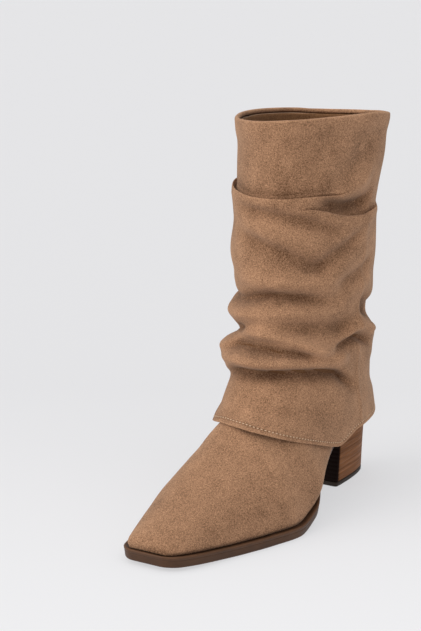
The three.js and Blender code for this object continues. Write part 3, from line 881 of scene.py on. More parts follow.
@dataclass(frozen=True)
class Insole:
    """The padded insole on the sole's top, inside the upper."""

    wall: float = 2.0
    play: float = 0.8
    thickness: float = 3.0

    def build(self, leather: bpy.types.Material) -> bpy.types.Object:
        """Makes and dresses the insole, softly rounded at its edge."""
        rings = []
        steps = ((6.0, 0.0), (0.6, 0.0), (0.0, 0.8), (0.0, 2.0), (0.5, 2.6), (1.6, 2.95), (4.0, 3.0))
        for inset, lift in steps:
            margin = lambda x, inset=inset: PLAN.shelf(x) + self.wall + self.play + inset
            height = lambda x, lift=lift: PLAN.bed(x) + FIT + lift * self.thickness / 3.0
            rings.append(PLAN.ring(margin, height))
        piece = sole_loft("padded_insole", rings)
        # The rounded edge is painted lighter: wear and painted highlight.
        paint(piece, "wear_and_highlight", np.repeat([0, 0, 0, 0.1, 0.3, 0.2, 0.1], len(rings[0])))
        assign(piece, leather)
        dress(piece, "lining_leather", "insole")
        return piece


# Sleeve


@dataclass(frozen=True)
class ShaftPlan:
    """Level sections round the shaft's axis, which sleeve and inner shaft share."""

    axis_x: float = 40.0
    axis_y: float = 3.0
    height: float = 268.0
    depth: float = 128.0
    width: float = 102.0
    sleeve_rows: tuple[tuple[float, ...], ...] = (
        (0.14, 1.7, 1.13, 0.84, 0.88, 2.6, 1.72),
        (0.2, 1.7, 1.12, 0.85, 0.88, 2.6, 1.68),
        (0.255, 1.61, 1.08, 0.84, 0.84, 2.45, 1.6),
        (0.29, 1.42, 1.02, 0.81, 0.81, 2.2, 1.6),
        (0.345, 1.25, 0.93, 0.79, 0.83, 2.1, 1.8),
        (0.38, 1.25, 0.9, 0.8, 0.94, 2.0, 2.0),
        (0.42, 1.29, 0.88, 0.82, 0.97, 2.0, 2.0),
        (0.465, 1.1, 0.84, 0.78, 0.84, 2.0, 2.0),
        (0.53, 1.13, 0.84, 0.81, 0.94, 2.0, 2.0),
        (0.59, 1.03, 0.84, 0.82, 0.85, 2.0, 2.0),
        (0.67, 1.06, 0.84, 0.85, 0.97, 2.0, 2.0),
        (0.76, 1.02, 0.84, 0.83, 0.9, 2.0, 2.0),
        (0.85, 1.0, 0.88, 0.91, 0.89, 2.0, 1.9),
        (1.0, 1.0, 0.99, 1.02, 0.94, 2.0, 1.8),
    )
    shaft_rows: tuple[tuple[float, ...], ...] = (
        (0.24, 0.42, 0.96, 0.4, 0.49),
        (0.32, 0.52, 0.86, 0.45, 0.54),
        (0.42, 0.61, 0.73, 0.5, 0.6),
        (0.52, 0.66, 0.7, 0.56, 0.66),
        (0.66, 0.78, 0.7, 0.64, 0.74),
        (0.76, 0.86, 0.72, 0.69, 0.77),
    )
    collar_rows: tuple[tuple[float, float], ...] = (
        (-180, -6.5), (-165, -3.5), (-145, 0.0), (-60, 0.0), (5, 0.0), (18, -2.0), (30, -5.5), (45, -8.0),
        (60, -8.5), (75, -8.0), (90, -6.5), (104, -4.0), (117, -0.8), (128, 1.2), (142, 0.0), (158, -3.5),
        (180, -6.5))
    collar_from: float = 212.0
    rim_rows: tuple[tuple[float, float], ...] = (
        (-180, 1.004), (-163, 1.002), (-150, 1.0025), (-139, 1.006), (-115, 1.01), (-79, 1.013),
        (-60, 1.0127), (-45, 1.0105), (-31, 1.0095), (-11, 1.0105), (0, 1.0125), (12, 1.0155),
        (24, 1.0175), (41, 1.0195), (58, 1.0208), (74, 1.0217), (90, 1.022), (104, 1.021), (113, 1.0186),
        (125, 1.0149), (137, 1.012), (149, 1.0103), (161, 1.0072), (180, 1.004))
    sleeve: dict[str, TableCurve] = field(init=False, compare=False)

    def __post_init__(self) -> None:
        """Makes the curves of the sleeve's table."""
        names = ("front", "back", "lateral", "medial", "square", "pinch")
        object.__setattr__(self, "sleeve", table_curves(names, self.sleeve_rows))

    def radius(self, extents: dict[str, np.ndarray], angle: np.ndarray) -> np.ndarray:
        """Distance from the axis to a section's edge.

        Args:
            extents: Reach each way and the exponents, by name.
            angle: Angle in degrees from the toe round by the outer side.

        Returns:
            The distances.
        """
        cos, sin = np.cos(np.radians(angle)), np.sin(np.radians(angle))
        depth = np.where(cos > 0, extents["front"], extents["back"]) * self.depth / 2
        width = np.where(sin > 0, extents["lateral"], extents["medial"]) * self.width / 2
        behind = np.where(sin > 0, extents["pinch"], 2.0)
        power = np.where(cos > 0, extents["square"], behind)
        total = np.abs(cos / depth) ** power + np.abs(sin / width) ** power
        return total ** (-1.0 / power)

    def sleeve_radius(self, angle: np.ndarray, height: np.ndarray) -> np.ndarray:
        """The unfolded sleeve's radius, pressed flat near the collar's outer corner."""
        share = np.asarray(height) / self.height
        round_one = self.radius({name: curve(share) for name, curve in self.sleeve.items()}, angle)
        pressed = table_value(self.collar_rows, angle)
        return round_one + pressed * smooth_step(height, self.collar_from, self.height - 4.0)

    def rim(self, angle: np.ndarray) -> np.ndarray:
        """Height of the collar's rim by angle."""
        return self.height * table_value(self.rim_rows, angle)

    def point(self, angle: np.ndarray, radius: np.ndarray, height: np.ndarray) -> np.ndarray:
        """Points from angle, radius and height."""
        turn = np.radians(angle)
        x = self.axis_x + radius * np.cos(turn)
        y = self.axis_y + radius * np.sin(turn)
        return np.stack(np.broadcast_arrays(x, y, height), axis=-1)


SHAFT = ShaftPlan()


@dataclass(frozen=True)
class Crease:
    """A soft trough or ridge that runs round the sleeve.

    Its points are angles and heights; depth is how far it stands out, up and down are its
    reach above and below, and ends is the share of its run over which each end fades.
    """

    name: str
    depth: float
    up: float
    down: float
    points: tuple[tuple[float, float], ...]
    ends: float = 0.3

    def push(self, angle: np.ndarray, height: np.ndarray) -> np.ndarray:
        """How far the crease moves the suede out at each angle and height."""
        turns = [a for a, _ in self.points]
        path = TableCurve(turns, [z for _, z in self.points])
        turned = turns[0] + (angle - turns[0]) % 360.0
        share = (turned - turns[0]) / (turns[-1] - turns[0])
        fade = smooth_step(share, 0.0, self.ends) * (1.0 - smooth_step(share, 1.0 - self.ends, 1.0))
        offset = height - path(turned)
        reach = np.where(offset > 0, self.up, self.down)
        return self.depth * fade * np.exp(-((offset / reach) ** 2)) * (share <= 1.0)


@dataclass(frozen=True)
class Lap:
    """A fold where the lower suede laps over the upper.

    Its rows are angle, height of the visible edge, how far the lower suede stands out there,
    and how deep the suede tucks in behind the edge.
    """

    name: str
    rows: tuple[tuple[float, float, float, float], ...]
    half: float = 3.2
    fall: float = 16.0

    def values(self, angle: np.ndarray) -> tuple[np.ndarray, np.ndarray, np.ndarray]:
        """Height of the fold's middle, its step and its tuck by angle."""
        curves = table_curves(("edge", "step", "tuck"), self.rows)
        edge, step, tuck = (curves[key](angle) for key in ("edge", "step", "tuck"))
        ratio = np.clip(self.half / (np.pi * np.maximum(tuck, 1e-3)), -1.0, 1.0)
        turn = np.arccos(ratio) / np.pi
        crest = np.where(ratio < 1.0, tuck * np.sin(np.pi * turn) - self.half * turn, 0.0)
        return edge - crest, step, tuck


LAPS = (
    Lap("outer_tuck", (
        (-180, 207, 0.6, 0.4), (-150, 204, 0.0, 0.0), (-110, 204, 0.0, 0.0), (-20, 206, 0.0, 0.0),
        (20, 212, 0.0, 0.0), (30, 212.8, 2.0, 2.2), (41, 211, 4.0, 3.8), (51, 208.3, 5.2, 5.0),
        (65, 206, 5.8, 5.4), (82, 205.4, 5.8, 5.2), (93, 206.6, 5.0, 3.8), (108, 208, 3.4, 1.8),
        (124, 208, 1.6, 0.6), (138, 208, 1.0, 0.3), (150, 207, 2.0, 1.8), (180, 207, 0.6, 0.4))),
    Lap("front_tuck", (
        (-180, 226, 0.4, 0.0), (-150, 222, 1.0, 0.8), (-120, 223, 2.0, 1.6), (-90, 225, 2.6, 2.0),
        (-60, 226, 3.2, 2.4), (-49, 225.4, 3.6, 3.0), (-35, 224, 3.8, 3.6), (-16, 222, 3.8, 3.8),
        (-5, 220.6, 3.8, 3.8), (10.5, 220.2, 3.8, 3.6), (24, 220.9, 3.4, 3.4), (38, 221.4, 2.8, 2.9),
        (50, 221.2, 1.8, 2.0), (60, 222.5, 0.8, 0.9), (72, 225.5, 0.0, 0.0), (95, 230, 0.0, 0.0),
        (130, 233, 0.0, 0.0), (180, 226, 0.4, 0.0))),
)

CREASES = (
    Crease("collar_dip", -1.2, 6.0, 9.0,
           ((-180, 256), (-90, 254), (0, 254), (90, 259), (179.9, 256)), 0.01),
    Crease("band_soft", -1.2, 12.0, 12.0, ((-44, 236), (-10, 239), (24, 236), (60, 243))),
    Crease("band_ridge", 2.6, 5.0, 5.5,
           ((40, 222.5), (56, 222.5), (70, 224.5), (86, 230), (106, 238)), 0.35),
    Crease("band_pocket", -7.4, 5.0, 6.0,
           ((28, 216), (46, 214.5), (64, 212.5), (84, 213), (104, 218)), 0.25),
    Crease("band_shade", -2.2, 10.0, 7.0, ((38, 230), (62, 235), (84, 245), (112, 250))),
    Crease("diagonal_dip", -4.0, 4.2, 6.0,
           ((-24, 214), (-7, 211.5), (21, 206.4), (47, 198.4), (66, 194.5))),
    Crease("diagonal_roll", 1.6, 7.0, 7.0, ((-26, 201), (2, 198), (28, 191), (52, 184))),
    Crease("hanging_left", -4.4, 5.4, 7.2,
           ((-24, 197), (-3, 190.5), (16, 182.4), (33, 173.6), (48, 172))),
    Crease("hanging_right", -3.9, 5.0, 7.0,
           ((22, 170.5), (33, 173), (49, 180.7), (66, 187.6), (86, 195))),
    Crease("hanging_roll", 2.2, 8.0, 8.0,
           ((-46, 177), (-10, 169), (20, 160.5), (44, 162), (60, 170), (80, 178))),
    Crease("side_diagonal", -2.6, 5.0, 7.0, ((46, 157), (64, 161.5), (84, 165.5), (112, 174))),
    Crease("side_swell", 1.8, 7.0, 7.0, ((50, 148), (70, 152), (92, 156), (120, 158))),
    Crease("arched_dip", -6.6, 4.6, 4.2,
           ((-84, 151), (-56, 150), (-40, 148), (-21, 147.5), (8, 153.8), (39, 149.7),
            (62, 144)), 0.3),
    Crease("arched_roll", 2.4, 6.0, 6.0,
           ((-60, 161), (-36, 160), (-10, 163), (20, 163.5), (50, 158), (74, 151))),
    Crease("arched_belly", 2.2, 5.0, 5.0,
           ((-40, 136), (-14, 139), (12, 141.5), (40, 139), (62, 135)), 0.35),
    Crease("side_notch", -10.0, 8.0, 5.0,
           ((84, 142.5), (98, 138), (112, 134), (128, 131), (160, 128.5)), 0.3),
    Crease("front_dent", -3.7, 5.2, 2.1,
           ((-100, 112), (-56, 117.5), (-36, 122.5), (-25, 125.5), (-14, 129.2), (-6, 131.5),
            (8, 128.5)), 0.25),
    Crease("front_pit", -4.0, 5.0, 4.2, ((-28, 126), (-16, 129), (-6, 131.5), (8, 131)), 0.4),
    Crease("front_roll", 2.0, 4.8, 4.8, ((-50, 137), (-30, 139), (-8, 141), (12, 139)), 0.4),
    Crease("broad_shade", -4.0, 7.0, 6.0, ((0, 132), (20, 131.5), (50, 129.5), (88, 126)), 0.35),
    Crease("long_roll", 6.8, 4.8, 4.2,
           ((-22, 133), (-8, 130.6), (8, 127.8), (24, 123.2), (37, 116.6), (56, 109.8),
            (74, 105)), 0.22),
    Crease("side_roll", 5.4, 5.4, 4.8,
           ((50, 113.5), (68, 121), (90, 125.5), (112, 121.5), (140, 118)), 0.3),
    Crease("side_dip", -7.2, 3.4, 4.4,
           ((34, 110.5), (51, 112.7), (64, 116.3), (82, 118.9), (100, 116), (124, 110)), 0.26),
    Crease("left_dip", -6.4, 3.4, 4.0,
           ((-29, 113), (-18, 117), (-9, 118.7), (9, 117.2), (28, 113), (42, 108)), 0.25),
    Crease("left_roll", 3.1, 4.8, 5.4,
           ((-110, 105), (-60, 108), (-40, 112.5), (-25, 117), (-16, 121.5), (-6, 126),
            (6, 127.5)), 0.25),
    Crease("lower_dip", -8.4, 3.0, 5.6,
           ((-38, 90), (-25, 95.5), (-6, 102.6), (16.5, 102.4), (32, 100.6), (51, 97.4),
            (72, 88.5), (92, 82)), 0.3),
    Crease("lower_roll", 3.4, 4.0, 4.2,
           ((-46, 103), (-28, 107), (-6, 110), (18, 109.5), (36, 107), (58, 103), (80, 96))),
    Crease("lower_belly", 1.8, 8.0, 9.0, ((-30, 90), (0, 89), (30, 85), (62, 76), (90, 72))),
    Crease("lower_fan", -1.6, 5.0, 6.0, ((-6, 84), (18, 80), (40, 72), (60, 64))),
    Crease("inner_roll", 5.2, 7.0, 7.0, ((190, 112), (240, 107), (290, 118)), 0.35),
    Crease("inner_dip", -4.8, 6.0, 6.5, ((180, 150), (240, 142), (300, 153)), 0.35),
    Crease("inner_low_dip", -4.2, 5.0, 5.5, ((196, 96), (240, 90), (292, 98)), 0.35),
    Crease("inner_high_roll", 3.2, 8.0, 8.0, ((186, 170), (240, 166), (300, 176)), 0.35),
    Crease("inner_diagonal", -3.4, 6.0, 7.0, ((200, 205), (240, 192), (285, 184)), 0.35),
    Crease("back_dip", -3.8, 6.5, 7.0, ((125, 177), (180, 185), (240, 177)), 0.35),
    Crease("back_high_dip", -2.8, 6.0, 7.0, ((118, 190), (160, 199), (205, 203)), 0.35),
    Crease("back_low_dip", -4.4, 5.0, 5.5, ((132, 104), (170, 98), (214, 104)), 0.35),
    Crease("hem_left_flat", -4.2, 9.0, 8.0, ((-66, 60), (-38, 62), (-20, 65), (4, 67)), 0.3),
    Crease("back_low_roll", 3.4, 6.0, 6.0, ((128, 116), (170, 112), (220, 120)), 0.35),
    Crease("back_arch_dip", -4.2, 5.0, 5.0, ((140, 148), (176, 140), (210, 146)), 0.35),
)


@dataclass
class Sleeve:
    """The fold-down sleeve: rolled rim, band, laps, creases and stitched hem."""

    wall: float = 2.0
    roll: float = 1.7
    columns: int = 280
    lap_rows: tuple[int, ...] = (134, 10)
    fold_rows: int = 26
    band_rows: int = 40
    roll_rows: int = 12
    inside_rows: int = 44
    hem_top: float = 7.8
    stitch_line: float = 2.9
    hem_rows: tuple[tuple[float, ...], ...] = (
        (-180, 54), (-120, 56.7), (-60, 60), (-30, 62.7), (-20, 65.4), (-12, 68.7), (-5, 70.4), (2, 70),
        (11, 67.3), (17, 64), (24, 59.6), (33, 54.2), (41, 50.2), (50, 46.8), (56, 45.6), (61, 46.3),
        (66, 47.7), (72, 49.4), (80, 51.3), (90, 52.8), (104, 53.4), (125, 54), (180, 54))

    def hem(self, angle: np.ndarray) -> np.ndarray:
        """Height of the hem by angle."""
        return table_value(self.hem_rows, angle)

    def seams(self, angle: np.ndarray, height: np.ndarray) -> np.ndarray:
        """Raised seams down the back and down the outer side."""
        radius = SHAFT.depth / 2
        back = (180.0 - np.abs(angle)) * np.pi / 180.0 * radius
        side = (angle - 88.0 - 4.0 * smooth_step(-height, -100.0, -60.0)) * np.pi / 180.0 * radius
        rise = 0.8 * np.exp(-((back / 3.0) ** 2)) - 0.7 * np.exp(-((back / 0.7) ** 2))
        low = 1.0 - smooth_step(height, 175.0, 205.0)
        return rise + low * (0.55 * np.exp(-((side / 3.2) ** 2)) - 0.25 * np.exp(-((side / 0.6) ** 2)))

    def relief(self, angle: np.ndarray, height: np.ndarray) -> np.ndarray:
        """All creases, seams and the faint swell of soft suede, as a push out."""
        total = self.seams(angle, height)
        for crease in CREASES:
            total = total + crease.push(angle, height)
        turn = np.radians(angle)
        swell = np.sin(3 * turn + height * 0.045) * np.sin(height * 0.061 + 1.3)
        ripple = np.sin(9 * turn - height * 0.11 + 0.7) * np.sin(height * 0.17 + 2 * turn)
        return total + 0.35 * swell + 0.16 * ripple

    def hem_relief(self, above: np.ndarray) -> np.ndarray:
        """The turned hem: a little thicker, drawn in along its stitches."""
        groove = -0.45 * np.exp(-(((above - self.stitch_line) / 0.9) ** 2))
        return groove + 0.25 * smooth_step(-above, -self.stitch_line - 2.0, 0.0)

    def lap_lift(self, laps: Sequence[Lap], angle: np.ndarray, height: np.ndarray) -> np.ndarray:
        """How far the suede stands out below some laps.

        Args:
            laps: The laps that lie above.
            angle: Angles.
            height: Heights.

        Returns:
            The push out at each angle and height.
        """
        total = np.zeros(np.broadcast(angle, height).shape)
        for lap in laps:
            middle, step, _ = lap.values(angle)
            below = np.maximum(middle - lap.half - height, 0.0)
            total = total + step * np.exp(-below / lap.fall)
        return total

    def surface(self, angle: np.ndarray, height: np.ndarray, laps: Sequence[Lap] = LAPS) -> np.ndarray:
        """Radius of the sleeve's outside.

        Args:
            angle: Angles.
            height: Heights.
            laps: The laps that lie above.

        Returns:
            The radii.
        """
        lift = self.lap_lift(laps, angle, height) + self.hem_relief(height - self.hem(angle))
        return SHAFT.sleeve_radius(angle, height) + lift + self.relief(angle, height)

    def outside(self, angle: np.ndarray) -> list[tuple[np.ndarray, ...]]:
        """Rows of the outside from the hem to the rim's roll.

        Args:
            angle: Angles of the columns.

        Returns:
            For each row its heights, its radii, its painted wear and highlight, and its painted shade.
        """
        hem = self.hem(angle)
        rows: list[tuple[np.ndarray, ...]] = []
        nothing = np.zeros_like(angle)

        # The last two values paint the row lighter, for wear and painted highlight, and darker, for painted
        # shade.
        def add(height: np.ndarray, laps: Sequence[Lap], out: object, rubbed_and_lit: object, deep: object) -> None:
            """Adds a row that stands out by an amount, under the laps above it."""
            radius = self.surface(angle, height, laps) + out
            rows.append((height, radius, nothing + rubbed_and_lit, nothing + deep))

        # The hem's edge is painted lighter: wear and painted highlight.
        for above, rubbed_and_lit in ((0.5, 0.8), (0.8, 0.6), (1.2, 0.3), (1.7, 0.1), (2.1, 0.0), (2.5, 0.0),
                            (2.9, 0.0), (3.3, 0.0), (3.7, 0.0), (4.2, 0.0), (5.0, 0.0), (6.2, 0.0),
                            (self.hem_top, 0.0)):
            # Painted shade along the groove of the stitch line.
            stitch_shade = 0.6 * math.exp(-(((above - self.stitch_line) / 0.5) ** 2))
            add(hem + above, LAPS, 0.0, rubbed_and_lit, stitch_shade)
        start = hem + self.hem_top
        for place, (lap, count) in enumerate(zip(LAPS, self.lap_rows)):
            middle, step, tuck = lap.values(angle)
            finish = middle - lap.half
            for share in np.linspace(0.0, 1.0, count + 1)[1:]:
                add(start + (finish - start) * share, LAPS[place:], 0.0, 0.0, 0.0)
            strength = np.clip(tuck / 3.0, 0.0, 1.0)
            for u in np.linspace(-1.0, 1.0, self.fold_rows + 1)[1:]:
                height = middle + lap.half * u - tuck * math.sin(math.pi * u)
                kept = step * (1.0 - float(smooth_step(u, -1.0, 1.0)))
                # Painted highlight on the lap's rolled edge, painted shade in the tuck behind it.
                rubbed_and_lit = 0.8 * math.exp(-(((u + 0.5) / 0.2) ** 2))
                deep = math.exp(-(((u - 0.4) / 0.45) ** 2))
                add(height, LAPS[place + 1:], kept, rubbed_and_lit * strength, deep * strength)
            start = middle + lap.half
        finish = SHAFT.rim(angle) - self.roll
        for share in np.linspace(0.0, 1.0, self.band_rows + 1)[1:]:
            # Painted shade in the pocket under the last lap.
            deep = math.exp(-share / 0.1) * np.clip(LAPS[-1].values(angle)[2] / 3.0, 0.0, 1.0)
            add(start + (finish - start) * share, (), 0.0, 0.0, deep)
        return rows

    def build(self, suede: bpy.types.Material, lining: bpy.types.Material) -> bpy.types.Object:
        """Makes and dresses the sleeve as one closed wall.

        Args:
            suede: Finish of its outside and rim.
            lining: Finish of its inside.

        Returns:
            The piece.
        """
        angle = round_angles(self.columns)
        rings, wear_and_highlights, painted_shades = [], [], []

        def keep(radius: np.ndarray, height: np.ndarray, wear_and_highlight: object, hollow: object) -> None:
            """Keeps one ring with its painted values."""
            rings.append(SHAFT.point(angle, radius, height))
            wear_and_highlights.append(np.broadcast_to(wear_and_highlight, angle.shape))
            painted_shades.append(np.broadcast_to(hollow, angle.shape))

        for height, radius, rubbed_and_lit, deep in self.outside(angle):
            relief = self.relief(angle, height)
            # Painted shade in troughs and folds, painted highlight on ridges.
            shaded = np.clip(-relief / 7.0, 0.0, 0.9) + 0.8 * deep
            keep(radius, height, 0.6 * rubbed_and_lit + np.clip(relief / 9.0, 0.0, 0.45), shaded)
        rim = SHAFT.rim(angle)
        edge = self.surface(angle, rim - self.roll, ())
        # The rim's roll gets a painted highlight.
        for turn in np.linspace(0.0, np.pi, self.roll_rows + 1)[1:]:
            keep(edge - self.roll + self.roll * np.cos(turn), rim - self.roll + self.roll * np.sin(turn),
                 0.75 * math.sin(turn), 0.0)
        inner = edge - 2 * self.roll
        # Painted shade on the rim's inner lip.
        for below, out in ((2.0, 0.0), (2.5, 0.05), (2.8, 0.3), (3.0, 0.9), (3.1, 1.9)):
            keep(inner + out, rim - below, 0.0, 0.4)
        outside_faces = len(rings) - 1
        hem = self.hem(angle)
        # The inside wall gets painted shade.
        for share in np.linspace(0.0, 1.0, self.inside_rows):
            height = rim - 4.0 + (hem + 1.2 - rim + 4.0) * share
            radius = SHAFT.sleeve_radius(angle, height) + self.relief(angle, height) - self.wall
            keep(radius, height, 0.0, 0.5)
        # The hem's cut edge is painted lighter, for wear and painted highlight, with painted shade just inside
        # it.
        low = self.surface(angle, hem + 0.6)
        keep(low - self.wall + 0.2, hem + 0.45, 0.3, 0.3)
        keep(low - self.wall + 0.7, hem + 0.08, 0.6, 0.1)
        keep(low - 0.6, hem, 0.8, 0.0)
        keep(low - 0.15, hem + 0.2, 0.9, 0.0)
        count = len(rings)
        faces = grid_faces(count + 1, self.columns) % (count * self.columns)
        piece = make_mesh("fold_down_sleeve", np.vstack(rings), faces)
        index = np.zeros(len(faces), np.int32)
        index[outside_faces * self.columns:(count - 3) * self.columns] = 1
        paint(piece, "wear_and_highlight", np.concatenate(wear_and_highlights))
        paint(piece, "hollow", np.concatenate(painted_shades))
        assign(piece, suede, lining)
        piece.data.polygons.foreach_set("material_index", index)
        dress(piece, "suede_sleeve", "shaft_cuff")
        return piece


# Upper


class Joining(Enum):
    """Ways to join two closed forms."""

    ADD = "UNION"
    TAKE = "DIFFERENCE"


@dataclass(frozen=True)
class Upper:
    """Vamp, heel part and inner shaft as one wall, open at the collar and over the sole."""

    wall: float = 2.0
    instep: float = 82.0
    tuck_in: float = 1.1
    tuck_height: float = 2.4
    foot_places: int = 150
    arch_points: int = 56
    shaft_points: int = 128
    shaft_levels: int = 70
    collar_drop: float = 3.2
    toe_rub_at: float = 236.0
    toe_rub_reach: float = 16.0
    rows: tuple[tuple[float, ...], ...] = (
        (0.0, 0.06, 2.2, 0, 0), (0.03, 0.2, 2.2, 0, 0), (0.08, 0.42, 2.2, 0, 0), (0.2, 0.62, 2.1, 0.04, 0),
        (0.26, 0.71, 2.05, 0.08, 0.2), (0.33, 0.82, 2.0, 0.12, 0.72), (0.38, 0.89, 2.0, 0.16, 0.9),
        (0.44, 0.94, 2.0, 0.23, 1.0), (0.48, 0.925, 1.97, 0.28, 0.78), (0.52, 0.895, 1.93, 0.31, 0.26),
        (0.59, 0.815, 1.88, 0.31, 0), (0.625, 0.75, 1.88, 0.29, 0), (0.66, 0.665, 1.86, 0.26, 0),
        (0.74, 0.53, 1.85, 0.2, 0),
        (0.82, 0.4, 1.9, 0.1, 0), (0.9, 0.27, 2.0, 0.04, 0), (0.96, 0.17, 2.2, 0, 0),
        (0.985, 0.12, 2.4, 0, 0), (1.0, 0.05, 2.6, 0, 0))
    swell: float = 6.5
    swell_fall: float = 7.0

    def foot_ring(self, x: float, wall: float, curves: dict[str, TableCurve]) -> np.ndarray:
        """A cross section of the foot part, from the outer side over the instep.

        Args:
            x: Place along the boot.
            wall: How far inside the outside form.
            curves: The foot's table.

        Returns:
            Points of the closed ring.
        """
        at = PLAN.share(x)
        margin = PLAN.shelf(x) + wall
        lateral = max(float(PLAN.half_width(np.array(x), "lateral") - margin), 1.0)
        medial = max(float(PLAN.half_width(np.array(x), "medial") - margin), 1.0)
        middle, half = (lateral - medial) / 2, (lateral + medial) / 2
        top = float(curves["height"](at)) * self.instep - wall
        power = 2.0 / float(curves["square"](at))
        lean = float(curves["lean"](at))
        turn = np.pi * bunched(self.arch_points, 0.6)
        across = np.sign(np.cos(turn)) * np.abs(np.cos(turn)) ** power
        up = np.sin(turn).clip(0) ** power
        bed = float(PLAN.bed(x)) + FIT
        if wall > 0:
            bed -= 0.5
        fullest = 1.0 / (1.0 + self.swell_fall)
        out = (up / fullest) * ((1 - up) / (1 - fullest)).clip(0) ** self.swell_fall
        y = middle + half * (across - lean * up**2)
        y = y + np.where(across > 0, out, 0.0) * self.swell * float(curves["swell"](at))
        z = bed + top * up
        if wall == 0:
            tucked = self.tuck_in * (1 - smooth_step(z - bed, 0.0, self.tuck_height))
            y = y - np.sign(across) * tucked * np.minimum(1.0, half / 6.0)
        under = bed - (9.0 if wall > 0 else 0.0)
        ring = np.column_stack([np.full_like(y, x), y, z])
        if wall > 0:
            ring = np.vstack([[x, y[0], under], ring, [x, y[-1], under]])
        return ring

    def foot_form(self, name: str, wall: float) -> bpy.types.Object:
        """The foot form from heel to toe, that far inside the sole's edge."""
        curves = table_curves(("height", "square", "lean", "swell"), self.rows)
        back = PLAN.back + PLAN.seat_margin + wall
        front = PLAN.back + PLAN.length - PLAN.shelf_width - wall
        share = (PLAN.places(self.foot_places) - PLAN.back) / PLAN.length
        rings = [self.foot_ring(float(x), wall, curves) for x in back + (front - back) * share]
        return lidded_loft(name, rings)

    def shaft_form(self, name: str, wall: float, past: float) -> bpy.types.Object:
        """The shaft's form up to the collar.

        Args:
            name: Name of the form.
            wall: How far inside the outside form.
            past: How far it runs past the shaft's top edge.

        Returns:
            The closed form.
        """
        angle = round_angles(self.shaft_points)
        names = ("front", "back", "lateral", "medial")
        curves = table_curves(names, SHAFT.shaft_rows)
        keys: list[tuple[np.ndarray, np.ndarray]] = []
        for share, *_ in SHAFT.shaft_rows:
            extents = {name: curve(share) for name, curve in curves.items()}
            extents |= {"square": 2.0, "pinch": 2.0}
            keys.append((np.full_like(angle, share * SHAFT.height), SHAFT.radius(extents, angle) - wall))
        inside = 2.0 + FIT + wall
        band = np.full_like(angle, 0.9 * SHAFT.height)
        keys.append((band, SHAFT.sleeve_radius(angle, band) - inside - 1.0))
        collar = SHAFT.rim(angle) - self.collar_drop - FIT
        keys.append((collar + past, SHAFT.sleeve_radius(angle, collar) - inside - 0.2))
        spots = np.linspace(0.0, len(keys) - 1.0, self.shaft_levels)
        knots = np.arange(len(keys))
        heights, radii = np.array([k[0] for k in keys]), np.array([k[1] for k in keys])
        rings = []
        for spot in spots:
            height = np.array([np.interp(spot, knots, heights[:, j]) for j in range(len(angle))])
            radius = np.array([TableCurve(knots, radii[:, j])(spot) for j in range(len(angle))])
            rings.append(SHAFT.point(angle, radius, height))
        return lidded_loft(name, rings)

    @staticmethod
    def join(base: bpy.types.Object, other: bpy.types.Object, way: Joining) -> None:
        """Adds or takes one closed form to or from another, and removes the second."""
        step = base.modifiers.new("join", "BOOLEAN")
        step.operation = way.value
        step.solver = "MANIFOLD"
        step.material_mode = "TRANSFER"
        step.object = other
        applied(base)
        bpy.data.objects.remove(other)

    def build(self, suede: bpy.types.Material, lining: bpy.types.Material) -> bpy.types.Object:
        """Makes and dresses the upper.

        Args:
            suede: Finish of its outside.
            lining: Finish of its inside.

        Returns:
            The piece.
        """
        outside = self.foot_form("suede_upper", 0.0)
        shaft = self.shaft_form("shaft_outside", 0.0, 0.0)
        inside = self.foot_form("foot_inside", self.wall)
        hollow = self.shaft_form("shaft_inside", self.wall, 8.0)
        for form, material in ((outside, suede), (shaft, suede), (inside, lining), (hollow, lining)):
            assign(form, material)
        self.join(outside, shaft, Joining.ADD)
        self.join(inside, hollow, Joining.ADD)
        self.join(outside, inside, Joining.TAKE)
        points = mesh_points(outside)
        above = points[:, 2] - PLAN.bed(points[:, 0]) - FIT
        # Painted shade along the foot of the upper, where it meets the sole.
        low = np.exp(-((above / 2.0) ** 2)) * 0.7
        paint(outside, "hollow", low)
        # The toe is painted a little lighter, for wear and painted highlight.
        from_toe = (points[:, 0] - self.toe_rub_at) / self.toe_rub_reach
        paint(outside, "wear_and_highlight", 0.25 * np.exp(-(from_toe**2)))
        smooth_faces(outside.data)
        dress(outside, "suede", "upper")
        return outside


# Stitches


